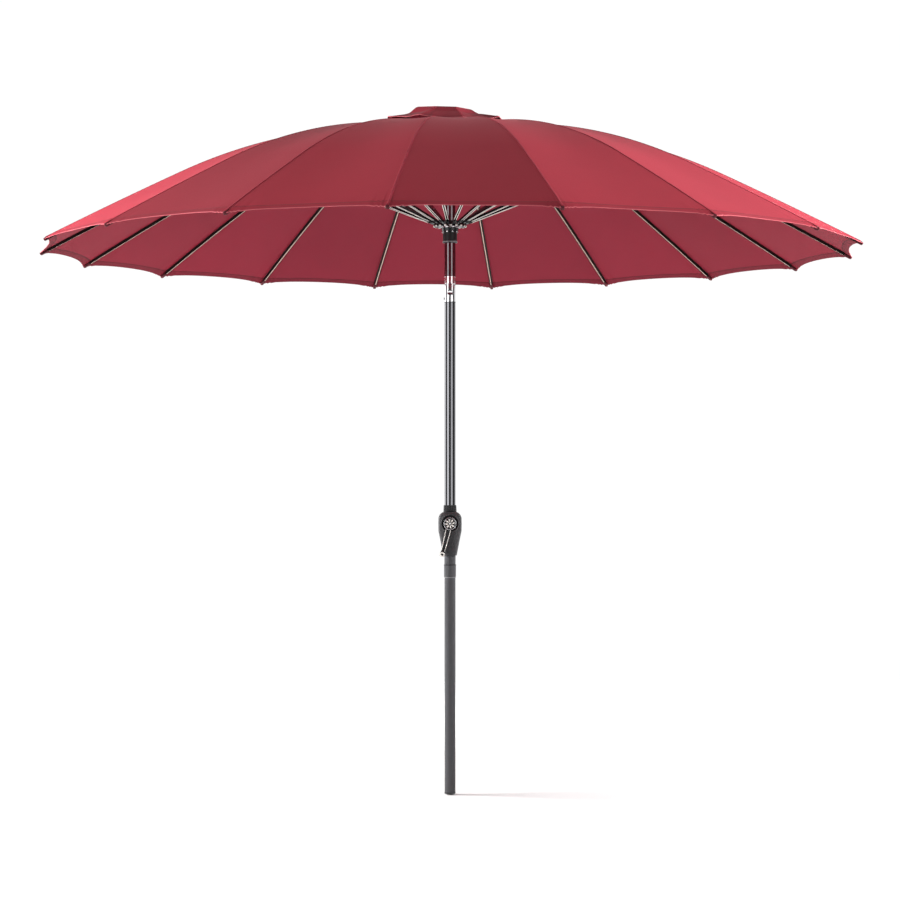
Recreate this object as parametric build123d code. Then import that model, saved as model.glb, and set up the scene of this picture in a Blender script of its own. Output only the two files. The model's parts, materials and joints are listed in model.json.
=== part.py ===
from build123d import *
import os
from math import asin, atan2, cos, degrees, hypot, pi, radians, sin, sqrt, tan

os.makedirs("parts", exist_ok=True)

# ---- driving dimensions, mm. Z = 0 is the cut lower end of the pole, +Z runs up the pole axis ----
RIBS = 18
STEP_DEG = 360 / RIBS
FIRST_RIB_DEG = 2.9  # azimuth of the first rib, from +X

POLE_R, POLE_WALL = 19.0, 1.5
POLE_BORE = POLE_R - POLE_WALL
PLAY = 0.4  # clearance of moving parts beside each other
RUNNING = 0.1  # radial clearance of a shaft in its hole
SNUG = 0.1  # gap of parts that are fixed to each other

# pole sections
COUPLER_Z0, COUPLER_Z1, COUPLER_R = 745.0, 789.0, 20.75
INSERT_R, INSERT_WALL, INSERT_DEPTH = 15.7, 1.5, 92.0
JAW_Z0, TILT_Z, JAW_Z1 = 1694.0, 1737.0, 1781.0
POLE_TOP_Z = 2286.0
PULLEY_DROP, PULLEY_R = 28.0, 11.0  # the pulley's axle sits this far below the pole's top

# crank and its housing
CRANK_Z = 932.0
HOUSING_Z = (821.0, 907.0, 952.0, 970.0, 994.0)  # foot, two levels of full width, shoulder, neck top
HOUSING_FOOT, HOUSING_FULL, HOUSING_SHOULDER = (48.0, 44.0, 15.0), (81.0, 62.0, 14.0), (50.0, 46.0, 18.0)
HOUSING_SHIFT_Y = -5.0  # the housing is deeper on the crank's side
SHAFT_R, SPOOL_R, SPOOL_RIM_R, SPOOL_W = 4.0, 8.0, 13.0, 22.0
ARM_REACH, ARM_LEAN_DEG = 107.5, 14.3
ARM_W0, ARM_W1, ARM_T = 20.0, 13.0, 8.0
DIAL_R, BOSS_R, BOSS_BORE = 22.0, 31.0, 27.0
KNOB_R, KNOB_LEN = 9.0, 36.0

# crown: a hub on the pole's top, with the wire that the ribs turn on
CROWN_R, CROWN_THICK, CROWN_ROOF = 62.0, 28.0, 9.0
CROWN_SLEEVE_R, CROWN_SLEEVE_LEN = 26.0, 32.0
CROWN_Z0 = POLE_TOP_Z - 6.0
CROWN_Z1 = CROWN_Z0 + CROWN_THICK
WIRE_R = 1.5
CROWN_PIVOT_R = 52.0
CROWN_PIVOT = (CROWN_PIVOT_R, CROWN_Z0 + 12.0)  # radius and height, as every point in a rib's plane

# runner, open: its pins lie this far below the crown's
RUNNER_DROP, RUNNER_PIVOT_R = 329.0, 50.0
RUNNER_PIVOT = (RUNNER_PIVOT_R, CROWN_PIVOT[1] - RUNNER_DROP)
RUNNER_R, RUNNER_THICK = 57.0, 17.0
NECK_TOP_R, NECK_R, NECK_LEN = 31.0, 26.5, 21.5
COLLAR_R, COLLAR_LEN, STEP_R, STEP_LEN = 24.5, 30.5, 25.2, 3.0
RUNNER_Z0 = RUNNER_PIVOT[1] - 10.0
RUNNER_Z1 = RUNNER_Z0 + RUNNER_THICK
NECK_Z0 = RUNNER_Z0 - NECK_LEN
COLLAR_Z0 = NECK_Z0 - COLLAR_LEN

# ribs, struts and fabric
RIB_W, RIB_D, RIB_WALL = 8.0, 9.0, 1.0
TIP_W, TIP_LEN, TIP_IN = 9.6, 24.0, 5.0  # the tip's middle is a little inside the hem
JOINT_R, JOINT_DROP = 652.0, 10.5  # where the strut's rivet sits: this far out, and this far below the rib
STRUT_W, STRUT_D, STRUT_WALL = 9.0, 9.0, 1.2
VENT_R, HEM_R = 150.0, 1394.0
BEND_R1, BEND_R2 = 350.0, 950.0  # the rib's arcs meet here
SLOPES_DEG = (2.0, 7.0, 26.6, 28.5)  # at the crown, where the arcs meet, and just past the hem
RIB_BENDS = tuple(zip((CROWN_PIVOT_R, BEND_R1, BEND_R2, HEM_R + 6.0), SLOPES_DEG))
CLOTH_T = 1.0
CLOTH_LIFT = TIP_W / 2 / cos(radians(30)) + 0.9  # the cloth lies just clear of the tips and ribs
CAP_RISE, CAP_RIM_R, CAP_FLAT_R = 44.0, 213.0, 80.0
CAP_DROP, CAP_MID_DROP = 24.0, 9.0
CAP_TOP_Z = CROWN_Z1 + CAP_RISE


def tube(r_out, r_in, z0, z1):
    """A tube round the Z axis between two heights."""
    h = z1 - z0
    return Pos(0, 0, z0 + h / 2) * (Cylinder(r_out, h) - Cylinder(r_in, h))


def disc(r, z0, z1):
    """A solid cylinder round the Z axis between two heights."""
    return Pos(0, 0, (z0 + z1) / 2) * Cylinder(r, z1 - z0)


def bar_y(r, y0, y1, x=0.0, z=0.0):
    """A round bar along Y."""
    return Pos(x, (y0 + y1) / 2, z) * Rot(90, 0, 0) * Cylinder(r, abs(y1 - y0))


def bar_x(r, x0, x1, y=0.0, z=0.0):
    """A round bar along X."""
    return Pos((x0 + x1) / 2, y, z) * Rot(0, 90, 0) * Cylinder(r, abs(x1 - x0))


def in_plane(point, slope_deg):
    """A frame in the rib's plane: its X runs outwards and dips by the slope."""
    return Pos(point[0], 0, point[1]) * Rot(0, slope_deg, 0)


def around(part):
    """The same shape once at every rib."""
    return [Rot(0, 0, FIRST_RIB_DEG + i * STEP_DEG) * part for i in range(RIBS)]


# ---- the rib's curve: arcs that run into each other ----
def rib_at(r):
    """The curve's height, and its slope in degrees, at a radius."""
    z = CROWN_PIVOT[1]
    for (r0, slope0), (r1, slope1) in zip(RIB_BENDS, RIB_BENDS[1:]):
        s0, s1 = sin(radians(slope0)), sin(radians(slope1))
        bend = (r1 - r0) / (s1 - s0)
        s = s0 + (min(r, r1) - r0) / bend
        z -= bend * (sqrt(1 - s0 * s0) - sqrt(1 - s * s))
        if r <= r1:
            break
    return z, degrees(asin(s))


def rib_path(r0, r1):
    """The curve between two radii, as a wire of arcs."""
    ends = [r0] + [r for r, _ in RIB_BENDS[1:-1] if r0 < r < r1] + [r1]
    points = [[(r, 0, rib_at(r)[0]) for r in (a, (a + b) / 2, b)] for a, b in zip(ends, ends[1:])]
    return Wire([ThreePointArc(*p) for p in points])


JOINT_RIB_Z, JOINT_SLOPE = rib_at(JOINT_R)
JOINT = (
    JOINT_R - JOINT_DROP * sin(radians(JOINT_SLOPE)),
    JOINT_RIB_Z - JOINT_DROP * cos(radians(JOINT_SLOPE)),
)
STRUT_LEN = hypot(JOINT[0] - RUNNER_PIVOT[0], JOINT[1] - RUNNER_PIVOT[1])
STRUT_RISE = degrees(atan2(JOINT[1] - RUNNER_PIVOT[1], JOINT[0] - RUNNER_PIVOT[0]))


def rib():
    """A bent channel, open below, with its eye at the crown, the lug that carries the strut, and its tip."""
    path = rib_path(CROWN_PIVOT_R + 14, HEM_R - 2 * TIP_IN)
    section = Plane(origin=path @ 0, x_dir=(0, 1, 0), z_dir=path % 0)
    half, deep = RIB_W / 2, RIB_D / 2
    outer = Rectangle(RIB_W, RIB_D)
    hollow = Pos(0, -RIB_WALL if (section.y_dir.Z > 0) else RIB_WALL) * Rectangle(RIB_W - 2 * RIB_WALL, RIB_D)
    body = sweep(section * (outer - hollow), path=path)
    eye = in_plane(CROWN_PIVOT, rib_at(CROWN_PIVOT_R + 8)[1])
    body += eye * (Pos(20, 0, 0) * Box(40, RIB_W - 1.0, RIB_D - 1) + bar_y(deep, -half + 0.5, half - 0.5))
    body -= eye * bar_y(WIRE_R + RUNNING, -half, half)
    lug = in_plane(JOINT, JOINT_SLOPE)
    plate = STRUT_W - 2 * STRUT_WALL - 2 * PLAY
    tall = JOINT_DROP + RIB_D / 2 - RIB_WALL / 2  # up into the channel's web
    body += lug * (Pos(0, 0, tall / 2) * Box(12, plate, tall) + bar_y(5, -plate / 2, plate / 2))
    body -= lug * bar_y(2 + RUNNING, -half, half)
    z_tip, slope = rib_at(HEM_R - TIP_IN)
    tip = Rot(0, 90, 0) * extrude(RectangleRounded(TIP_W, TIP_W, 1.5), TIP_LEN / 2, both=True)
    body += in_plane((HEM_R - TIP_IN, z_tip), slope) * tip
    return body


def strut():
    """A straight channel, open below, solid at its runner end and forked with a rivet at its rib end."""
    half = STRUT_W / 2
    place = in_plane(RUNNER_PIVOT, -STRUT_RISE)
    bar = Pos(STRUT_LEN / 2, 0, 0) * Rot(90, 0, 0) * extrude(
        SlotCenterToCenter(STRUT_LEN, STRUT_D), STRUT_W / 2, both=True
    )
    inner = STRUT_W - 2 * STRUT_WALL
    bar -= Pos(16 + STRUT_LEN / 2, 0, -STRUT_WALL) * Box(STRUT_LEN, inner, STRUT_D)
    bar -= Pos(STRUT_LEN, 0, 0) * Box(20, inner, STRUT_D + 2)
    bar -= bar_y(2.2, -half, half)
    rivet = bar_y(2, -half - 0.2, half + 0.2) + bar_y(3.4, half - 0.2, half + 1) + bar_y(3.4, -half - 1, 0.2 - half)
    bar += Pos(STRUT_LEN, 0, 0) * rivet
    return place * bar


def wire_ring(r):
    """A wire bent straight across each slot, closed into a ring."""
    reach = CROWN_PIVOT[0] * tan(pi / RIBS) + 0.3
    run = Pos(CROWN_PIVOT[0], 0, CROWN_PIVOT[1]) * Rot(90, 0, 0) * Cylinder(r, 2 * reach)
    return Part() + around(run)


def crown_hub():
    """The notched hub on the pole's top. Its slots are open below and outside, and closed above."""
    foot = CROWN_Z0 - CROWN_SLEEVE_LEN
    body = disc(CROWN_R, CROWN_Z0, CROWN_Z1) + disc(CROWN_SLEEVE_R, foot, CROWN_Z0)
    body -= disc(POLE_R + SNUG, foot, POLE_TOP_Z + SNUG)
    wide, roof = RIB_W + 2 * PLAY, CROWN_Z1 - CROWN_ROOF
    slot = Pos(CROWN_PIVOT_R - 8 + 20, 0, (CROWN_Z0 + roof) / 2) * Box(40, wide, roof - CROWN_Z0)
    body -= around(slot)
    body -= wire_ring(WIRE_R + SNUG)
    return body


def crown_cap():
    """The post and round plate that carry the top of the vent."""
    z = CAP_TOP_Z - CLOTH_T - 0.4
    plate = fillet(disc(CAP_FLAT_R - 4, z - 5, z).edges(), 2)
    return disc(14, CROWN_Z1 + SNUG, z - 5) + plate


def keyway(z0, z1):
    """The channel down the runner's bore that lets it pass the tilt button."""
    return Pos(-POLE_R, 0, (z0 + z1) / 2) * Box(2 * 3.6, 12, z1 - z0)


def runner_hub():
    """The sliding hub: a neck and a notched crown, its slots open above, below and outside."""
    cone = Pos(0, 0, (NECK_Z0 + SNUG + RUNNER_Z0) / 2) * Cone(NECK_R, NECK_TOP_R, NECK_LEN - SNUG)
    body = disc(RUNNER_R, RUNNER_Z0, RUNNER_Z1) + cone
    body -= disc(POLE_R + PLAY, NECK_Z0, RUNNER_Z1)
    slot = Pos(RUNNER_PIVOT_R - 8 + 20, 0, (RUNNER_Z0 + RUNNER_Z1) / 2) * Box(40, STRUT_W + 1.2, 2 * RUNNER_THICK)
    body -= around(slot)
    return body - keyway(NECK_Z0, RUNNER_Z1)


def runner_collar():
    """The runner's lower collar, with the step at its foot."""
    foot = COLLAR_Z0 - STEP_LEN
    body = disc(COLLAR_R, COLLAR_Z0 + STEP_LEN, NECK_Z0) + disc(STEP_R, foot, COLLAR_Z0 + STEP_LEN)
    return body - disc(POLE_R + PLAY, foot, NECK_Z0) - keyway(foot, NECK_Z0)


def middle_pole():
    """The upper tube from the coupler to the tilt joint, with the insert that turns in the lower pole."""
    z0 = COUPLER_Z1 + PLAY
    body = tube(POLE_R, POLE_BORE, z0, JAW_Z0)
    body += tube(INSERT_R, INSERT_R - INSERT_WALL, COUPLER_Z1 - INSERT_DEPTH, z0 + 6)
    body += tube(POLE_BORE + 0.5, INSERT_R - INSERT_WALL, z0, z0 + 6)
    body -= bar_y(SHAFT_R + RUNNING, -POLE_R, POLE_R, z=CRANK_Z)
    return body - Pos(0, POLE_R, CRANK_Z) * Box(28, 14, 28)  # the spool goes in here, behind the housing


def coupler():
    """The collar where the two poles meet, with the sleeve that goes into the lower one."""
    ring = tube(COUPLER_R, INSERT_R + PLAY, COUPLER_Z0, COUPLER_Z1)
    ring = chamfer(ring.edges().filter_by(GeomType.CIRCLE).sort_by(SortBy.RADIUS)[-2:], 1.0)
    return ring + tube(POLE_BORE - SNUG, INSERT_R + PLAY, COUPLER_Z0 - 42, COUPLER_Z0)


def rounded(size, z):
    """A rounded rectangle of the housing's outline at a height."""
    wide, deep, corner = size
    return Pos(0, HOUSING_SHIFT_Y, z) * RectangleRounded(wide, deep, corner)


SCREW_X = HOUSING_FULL[0] / 2 - 9.5
SCREWS_AT = [(x, z) for x in (-SCREW_X, SCREW_X) for z in (HOUSING_Z[1] + 7.0, HOUSING_Z[2] - 7.0)]
FRONT_Y = HOUSING_SHIFT_Y - HOUSING_FULL[1] / 2
BACK_Y = HOUSING_SHIFT_Y + HOUSING_FULL[1] / 2


def housing():
    """The whole crank housing round the pole, before it is split."""
    foot, low, high, shoulder, top = HOUSING_Z
    body = loft([rounded(HOUSING_FOOT, foot), rounded(HOUSING_FULL, low)], ruled=True)
    body += loft([rounded(HOUSING_FULL, low), rounded(HOUSING_FULL, high)], ruled=True)
    mid = tuple((3 * a + b) / 4 for a, b in zip(HOUSING_FULL, HOUSING_SHOULDER))
    body += loft([rounded(HOUSING_FULL, high), rounded(mid, high + 11)], ruled=True)
    body += loft([rounded(mid, high + 11), rounded(HOUSING_SHOULDER, shoulder)], ruled=True)
    body += disc(21.5, shoulder, top)
    for i in range(12):  # crenellated neck
        body -= Rot(0, 0, 30 * i + 15) * Pos(21.5, 0, top - 3) * Box(3, 4, 8)
    body += bar_y(BOSS_R, FRONT_Y - 5, FRONT_Y + 2, z=CRANK_Z)
    body -= bar_y(BOSS_BORE, FRONT_Y - 6, FRONT_Y, z=CRANK_Z)
    body -= bar_y(SHAFT_R + RUNNING, FRONT_Y - 9, 22.4, z=CRANK_Z)
    body -= disc(POLE_R + SNUG, foot, top)
    for x, z in SCREWS_AT:
        body -= bar_y(1.8 + SNUG, -16, BACK_Y, x, z) + bar_y(3.6 + SNUG, BACK_Y - 3, BACK_Y + 1, x, z)
    return body


def housing_half(side):
    """The housing's front (-1) or back (+1) half."""
    size = 2 * (HOUSING_Z[-1] - HOUSING_Z[0])
    keep = Pos(0, side * (size + SNUG) / 2, CRANK_Z) * Box(size, size, size)
    return housing() & keep


def screws():
    made = [bar_y(1.8, -15.5, BACK_Y - 2.5, x, z) + bar_y(3.6, BACK_Y - 2.8, BACK_Y - 0.6, x, z) for x, z in SCREWS_AT]
    heads = [m - Pos(x, BACK_Y - 0.6, z) * Box(4.2, 1.4, 0.8) for m, (x, z) in zip(made, SCREWS_AT)]
    return Compound(children=[h.solid() for h in heads])


def drum():
    """The spool inside the pole, and its shaft out to the crank."""
    half = SPOOL_W / 2
    body = bar_y(SPOOL_R, -half, half) + bar_y(SPOOL_RIM_R, -half, 2 - half) + bar_y(SPOOL_RIM_R, half - 2, half)
    return Pos(0, 0, CRANK_Z) * (body + bar_y(SHAFT_R, FRONT_Y - 9, 22))


ARM_Y0 = FRONT_Y - 6  # the arm's back, clear of the boss
ARM_Y1 = ARM_Y0 - ARM_T


def arm_frame():
    """The crank's frame: X runs along the arm from the shaft to the knob, Y along the shaft."""
    return Pos(0, 0, CRANK_Z) * Rot(0, 90 + ARM_LEAN_DEG, 0)


def crank_arm():
    """A tapered channel arm with its hub, and the stud that the knob turns on."""
    outline = make_hull((Circle(ARM_W0 / 2).edges() + (Pos(ARM_REACH, 0) * Circle(ARM_W1 / 2)).edges()))
    groove = make_hull(
        ((Pos(26, 0) * Circle(ARM_W0 / 2 - 4)).edges() + (Pos(ARM_REACH - 12, 0) * Circle(ARM_W1 / 2 - 2.4)).edges())
    )
    to_xz = Rot(90, 0, 0)  # sketch Y goes to Z, extrusion to -Y
    body = Pos(0, ARM_Y0, 0) * to_xz * extrude(outline, ARM_T)
    body += bar_y(20, FRONT_Y - 1, ARM_Y1)
    body -= Pos(0, ARM_Y1 + 3, 0) * to_xz * extrude(groove, 5)
    body += bar_y(3, ARM_Y1 + 1, ARM_Y1 - KNOB_LEN + 4, ARM_REACH)
    body -= bar_y(SHAFT_R + SNUG, FRONT_Y, FRONT_Y - 9 - SNUG)
    return arm_frame() * body


def dial():
    """The bright round cap on the crank's hub, with its raised spokes."""
    y = ARM_Y1 - SNUG
    body = bar_y(DIAL_R, y, y - 3)
    for i in range(4):
        body += Rot(0, 45 * i, 0) * Pos(0, y - 3.4, 0) * Box(2 * DIAL_R - 5, 1.2, 2.4)
    return arm_frame() * body


def knob():
    """The knob, free to turn on its stud."""
    y0, y1 = ARM_Y1 - 0.5, ARM_Y1 - KNOB_LEN
    body = bar_y(KNOB_R, y0, y1, ARM_REACH)
    body = fillet(body.edges(), 1.6)
    body -= bar_y(3 + RUNNING, y0, ARM_Y1 - KNOB_LEN + 3.4, ARM_REACH)
    body -= Pos(ARM_REACH, y1, 0) * Rot(0, 45, 0) * Box(7, 1.6, 7)
    return arm_frame() * body


def tilt_pin_hole(r):
    return bar_x(r, -POLE_R, POLE_R, z=TILT_Z)


FORK = 9.4  # half the gap between the lower jaw's cheeks


def lower_jaw():
    """The lower half of the tilt joint: a plug in the pole, a collar, and two cheeks."""
    floor = TILT_Z - POLE_R
    body = disc(POLE_BORE - SNUG, JAW_Z0 - 34, JAW_Z0) + disc(POLE_R, JAW_Z0, TILT_Z)
    body += bar_x(POLE_R - 1, -POLE_R, POLE_R, z=TILT_Z) & disc(POLE_R, JAW_Z0, JAW_Z1)
    body -= Pos(0, 0, floor + 40) * Box(2 * FORK, 60, 80)
    body -= tilt_pin_hole(4 + SNUG)
    return body - bar_x(5 + RUNNING, -POLE_R - 1, -8, z=BUTTON_Z)


BUTTON_Z = JAW_Z0 + 12.0


def upper_jaw():
    """The upper half of the tilt joint: a round-ended tongue under a full collar, and a plug in the top pole."""
    shoulder = TILT_Z + POLE_R + 1
    tongue = bar_x(POLE_R - 1, -FORK + PLAY, FORK - PLAY, z=TILT_Z)
    tongue += Pos(0, 0, (TILT_Z + shoulder) / 2) * Box(2 * (FORK - PLAY), 2 * (POLE_R - 1), shoulder - TILT_Z)
    body = (tongue & disc(POLE_R, JAW_Z0, JAW_Z1)) + disc(POLE_R, shoulder, JAW_Z1)
    body += disc(POLE_BORE - SNUG, JAW_Z1, JAW_Z1 + 30)
    return body - tilt_pin_hole(4 + RUNNING)


PULLEY_Z = POLE_TOP_Z - PULLEY_DROP


def top_pole():
    body = tube(POLE_R, POLE_BORE, JAW_Z1, POLE_TOP_Z)
    return body - bar_y(2.1 + RUNNING, -POLE_R, POLE_R, z=PULLEY_Z)


def pulley():
    """The grooved wheel at the top of the pole, on its axle."""
    groove = Torus(PULLEY_R + 0.5, 2)
    wheel = Rot(90, 0, 0) * (Cylinder(PULLEY_R, 6) - groove)
    return Pos(0, 0, PULLEY_Z) * (wheel + bar_y(2.1, -POLE_R + 0.2, POLE_R - 0.2))


def gores(levels):
    """The solid under a many-sided surface, one flat panel between neighbouring ribs at each level."""
    rings = [Pos(0, 0, z) * Rot(0, 0, FIRST_RIB_DEG) * RegularPolygon(r, RIBS) for r, z in levels]
    return Part() + [loft([a, b], ruled=True) for a, b in zip(rings, rings[1:])]


def canopy():
    """The main cover: one stretched panel between each two ribs, open at the vent."""
    steps = [VENT_R - 20] + [VENT_R + (HEM_R - VENT_R) * i / 12 for i in range(13)]
    under = gores([(r, rib_at(r)[0] + CLOTH_LIFT) for r in reversed(steps)])
    shell = Pos(0, 0, CLOTH_T) * under - under
    hole = Pos(0, 0, rib_at(HEM_R)[0]) * Rot(0, 0, FIRST_RIB_DEG) * extrude(RegularPolygon(VENT_R, RIBS), HEM_R)
    return shell - hole


def vent_cap():
    """The small raised cover over the vent, lying on the crown's plate."""
    top = CAP_TOP_Z - CLOTH_T
    under = gores([(CAP_RIM_R, top - CAP_DROP), (VENT_R, top - CAP_MID_DROP), (CAP_FLAT_R, top)])
    return Pos(0, 0, CLOTH_T) * under - under


PIECES = {
    "lower_pole": lambda: tube(POLE_R, POLE_BORE, 0, COUPLER_Z0),
    "pole_end_plug": lambda: disc(POLE_BORE - SNUG, 0, 16),
    "pole_coupler": coupler,
    "middle_pole": middle_pole,
    "crank_housing_front": lambda: housing_half(-1),
    "crank_housing_back": lambda: housing_half(1),
    "housing_screws": screws,
    "winding_drum": drum,
    "crank_arm": crank_arm,
    "crank_dial": dial,
    "crank_knob": knob,
    "tilt_lower_jaw": lower_jaw,
    "tilt_pivot_pin": lambda: bar_x(4, -POLE_R + 0.8, POLE_R - 0.8, z=TILT_Z),
    "tilt_button": lambda: fillet(bar_x(5, -POLE_R - 2, -POLE_R + 8, z=BUTTON_Z).edges(), 0.8),
    "tilt_upper_jaw": upper_jaw,
    "top_pole": top_pole,
    "cord_pulley": pulley,
    "runner_hub": runner_hub,
    "runner_collar": runner_collar,
    "crown_hub": crown_hub,
    "crown_wire": lambda: wire_ring(WIRE_R),
    "crown_cap": crown_cap,
    "canopy": canopy,
    "vent_cap": vent_cap,
}

for name, make in PIECES.items():
    export_step(make(), f"parts/{name}.step")
for kind, one in (("rib", rib()), ("strut", strut())):
    for i, placed in enumerate(around(one)):
        export_step(placed, f"parts/{kind}_{i + 1:02d}.step")
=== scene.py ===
"""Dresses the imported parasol: cloth, seams, bright fittings, paint and plastic, all on the frame's bodies.

Lengths are in metres and angles in radians where nothing else is said. The pole stands up along +Z from the
origin, and the crank is on its -Y side.
"""

import json
import logging
from collections.abc import Iterator
from contextlib import contextmanager
from dataclasses import dataclass, field
from enum import Enum
from math import cos, pi, radians, sin, tau

import bmesh
import bpy
import numpy as np
from bpy.types import Material, Node, NodeOutputs, NodeSocket, NodeTree, Object, World
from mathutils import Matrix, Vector

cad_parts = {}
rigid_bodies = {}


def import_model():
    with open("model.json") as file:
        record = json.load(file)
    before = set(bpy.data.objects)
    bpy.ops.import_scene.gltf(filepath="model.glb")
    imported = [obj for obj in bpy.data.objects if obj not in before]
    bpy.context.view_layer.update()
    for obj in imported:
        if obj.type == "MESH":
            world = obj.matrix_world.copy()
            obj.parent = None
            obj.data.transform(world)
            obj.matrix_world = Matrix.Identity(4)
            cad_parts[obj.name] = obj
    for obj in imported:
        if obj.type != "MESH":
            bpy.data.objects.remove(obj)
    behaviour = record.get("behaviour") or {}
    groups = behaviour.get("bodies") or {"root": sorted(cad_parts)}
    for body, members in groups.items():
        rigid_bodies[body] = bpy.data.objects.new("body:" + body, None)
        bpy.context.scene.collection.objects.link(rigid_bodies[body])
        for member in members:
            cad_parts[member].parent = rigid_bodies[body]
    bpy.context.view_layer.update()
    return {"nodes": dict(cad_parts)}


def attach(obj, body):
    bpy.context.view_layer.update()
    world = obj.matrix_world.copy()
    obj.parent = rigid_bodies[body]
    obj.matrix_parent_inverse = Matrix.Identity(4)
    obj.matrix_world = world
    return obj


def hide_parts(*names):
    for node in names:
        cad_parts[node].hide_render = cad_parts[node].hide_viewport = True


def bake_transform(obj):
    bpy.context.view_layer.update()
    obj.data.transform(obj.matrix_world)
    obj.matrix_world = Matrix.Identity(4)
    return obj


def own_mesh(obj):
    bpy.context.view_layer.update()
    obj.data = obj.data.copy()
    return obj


log = logging.getLogger("parasol")
Colour = tuple[float, float, float]
Point = tuple[float, float, float]
UP = np.array([0.0, 0.0, 1.0])
DUST: Colour = (0.33, 0.31, 0.28)
CLOTH_MAP = "Cloth"


class Axis(Enum):
    """The way a turned form's axis points, as the matrix that turns +Z to it."""

    UPRIGHT = ((1, 0, 0), (0, 1, 0), (0, 0, 1))
    FORWARD = ((1, 0, 0), (0, 0, -1), (0, 1, 0))


# ---------------------------------------------------------------- meshes


def new_object(name: str, verts: np.ndarray, faces: list[np.ndarray], smooth: bool = True) -> Object:
    """Puts arrays into a mesh object in the scene.

    Args:
        name: the piece's name.
        verts: points, one row each, in metres.
        faces: arrays of vertex indices, one row per face, all faces of an array with as many corners.
        smooth: shade the faces smooth.

    Returns:
        The new object, at the origin.
    """
    mesh = bpy.data.meshes.new(name)
    loops = np.concatenate([f.reshape(-1) for f in faces]).astype(np.int32)
    sizes = np.concatenate([np.full(len(f), f.shape[1]) for f in faces])
    starts = np.concatenate([[0], np.cumsum(sizes)[:-1]]).astype(np.int32)
    mesh.vertices.add(len(verts))
    mesh.vertices.foreach_set("co", np.ascontiguousarray(verts, np.float32).reshape(-1))
    mesh.loops.add(len(loops))
    mesh.loops.foreach_set("vertex_index", loops)
    mesh.polygons.add(len(sizes))
    mesh.polygons.foreach_set("loop_start", starts)
    mesh.polygons.foreach_set("use_smooth", np.full(len(sizes), smooth))
    mesh.update(calc_edges=True)
    mesh.validate()
    made = bpy.data.objects.new(name, mesh)
    bpy.context.scene.collection.objects.link(made)
    return made


def grid_faces(rows: int, cols: int, wrap_rows: bool = False, wrap_cols: bool = False) -> np.ndarray:
    """Quads of a grid of points stored row by row; a wrapped side joins the last line to the first."""
    i = np.arange(rows if wrap_rows else rows - 1)
    j = np.arange(cols if wrap_cols else cols - 1)
    i, j = (a.reshape(-1) for a in np.meshgrid(i, j, indexing="ij"))
    i2, j2 = (i + 1) % rows, (j + 1) % cols
    return np.stack([i * cols + j, i2 * cols + j, i2 * cols + j2, i * cols + j2], axis=1)


def sheet_solid(name: str, top: np.ndarray, bottom: np.ndarray, uv: np.ndarray | None = None) -> Object:
    """A thin closed sheet between two grids of points that match, with quads round its rim.

    Args:
        name: the piece's name.
        top: (rows, cols, 3) points of the outer face; rows cross cols point out of it.
        bottom: the same for the inner face.
        uv: (rows, cols, 2) cloth coordinates in metres, the same on both faces.

    Returns:
        The object.
    """
    rows, cols = top.shape[:2]
    n = rows * cols
    face = grid_faces(rows, cols)
    right, left = np.arange(1, rows) * cols + cols - 1, np.arange(rows - 2, 0, -1) * cols
    edge = np.concatenate([np.arange(cols), right, n - 2 - np.arange(cols - 1), left])
    after = np.roll(edge, -1)
    rim = np.stack([edge, after, after + n, edge + n], axis=1)
    verts = np.concatenate([top.reshape(-1, 3), bottom.reshape(-1, 3)])
    made = new_object(name, verts, [face, face[:, ::-1] + n, rim])
    made["face_count"] = len(face)
    if uv is not None:
        add_uv(made, np.concatenate([uv.reshape(-1, 2)] * 2))
    return made


def add_uv(obj: Object, uv: np.ndarray) -> None:
    """Gives a mesh the cloth's UV map from one pair of numbers a vertex."""
    mesh = obj.data
    layer = mesh.uv_layers.new(name=CLOTH_MAP)
    index = np.empty(len(mesh.loops), np.int32)
    mesh.loops.foreach_get("vertex_index", index)
    layer.data.foreach_set("uv", uv[index].astype(np.float32).reshape(-1))


def add_value(obj: Object, name: str, values: np.ndarray) -> None:
    """Gives a mesh a named number at each vertex, for its material to read."""
    attribute = obj.data.attributes.new(name, "FLOAT", "POINT")
    attribute.data.foreach_set("value", values.astype(np.float32).reshape(-1))


def label_sheet(obj: Object, **grids: np.ndarray) -> None:
    """Gives both faces of a sheet the same named numbers, one grid for each name."""
    for name, values in grids.items():
        add_value(obj, name, np.concatenate([values.reshape(-1)] * 2))


def row_lengths(points: np.ndarray) -> np.ndarray:
    """The length of each row of a grid of points: the sum of the distances between neighbours."""
    return np.linalg.norm(np.diff(points, axis=1), axis=2).sum(1)[:, None]


def cloth_sheet(
    name: str,
    under: np.ndarray,
    thick: np.ndarray,
    to_hem: np.ndarray,
    across: np.ndarray,
    to_seam: np.ndarray,
    shade: float,
) -> Object:
    """A sewn sheet: top = under + thick * unit normal, which is the cross product of the grid's two steps.

    Args:
        name: the piece's name.
        under: (rows, cols, 3) points of the inner face.
        thick: thickness at each point.
        to_hem: distance to the hem at each point, also the cloth's first coordinate.
        across: the cloth's second coordinate.
        to_seam: distance to the nearer seam at each point.
        shade: painted light: how much lighter or darker this gore's colour is painted, standing in for the
            light and shade that fall on it.

    Returns:
        The object, with the numbers that its finish reads.
    """
    up = np.cross(np.gradient(under, axis=0), np.gradient(under, axis=1))
    up /= np.linalg.norm(up, axis=2, keepdims=True)
    made = sheet_solid(name, under + up * thick[..., None], under, np.stack([to_hem, across], axis=2))
    label_sheet(made, hem_distance=to_hem, seam_distance=to_seam, cloth_shade=np.full(to_hem.shape, shade))
    return made


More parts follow.
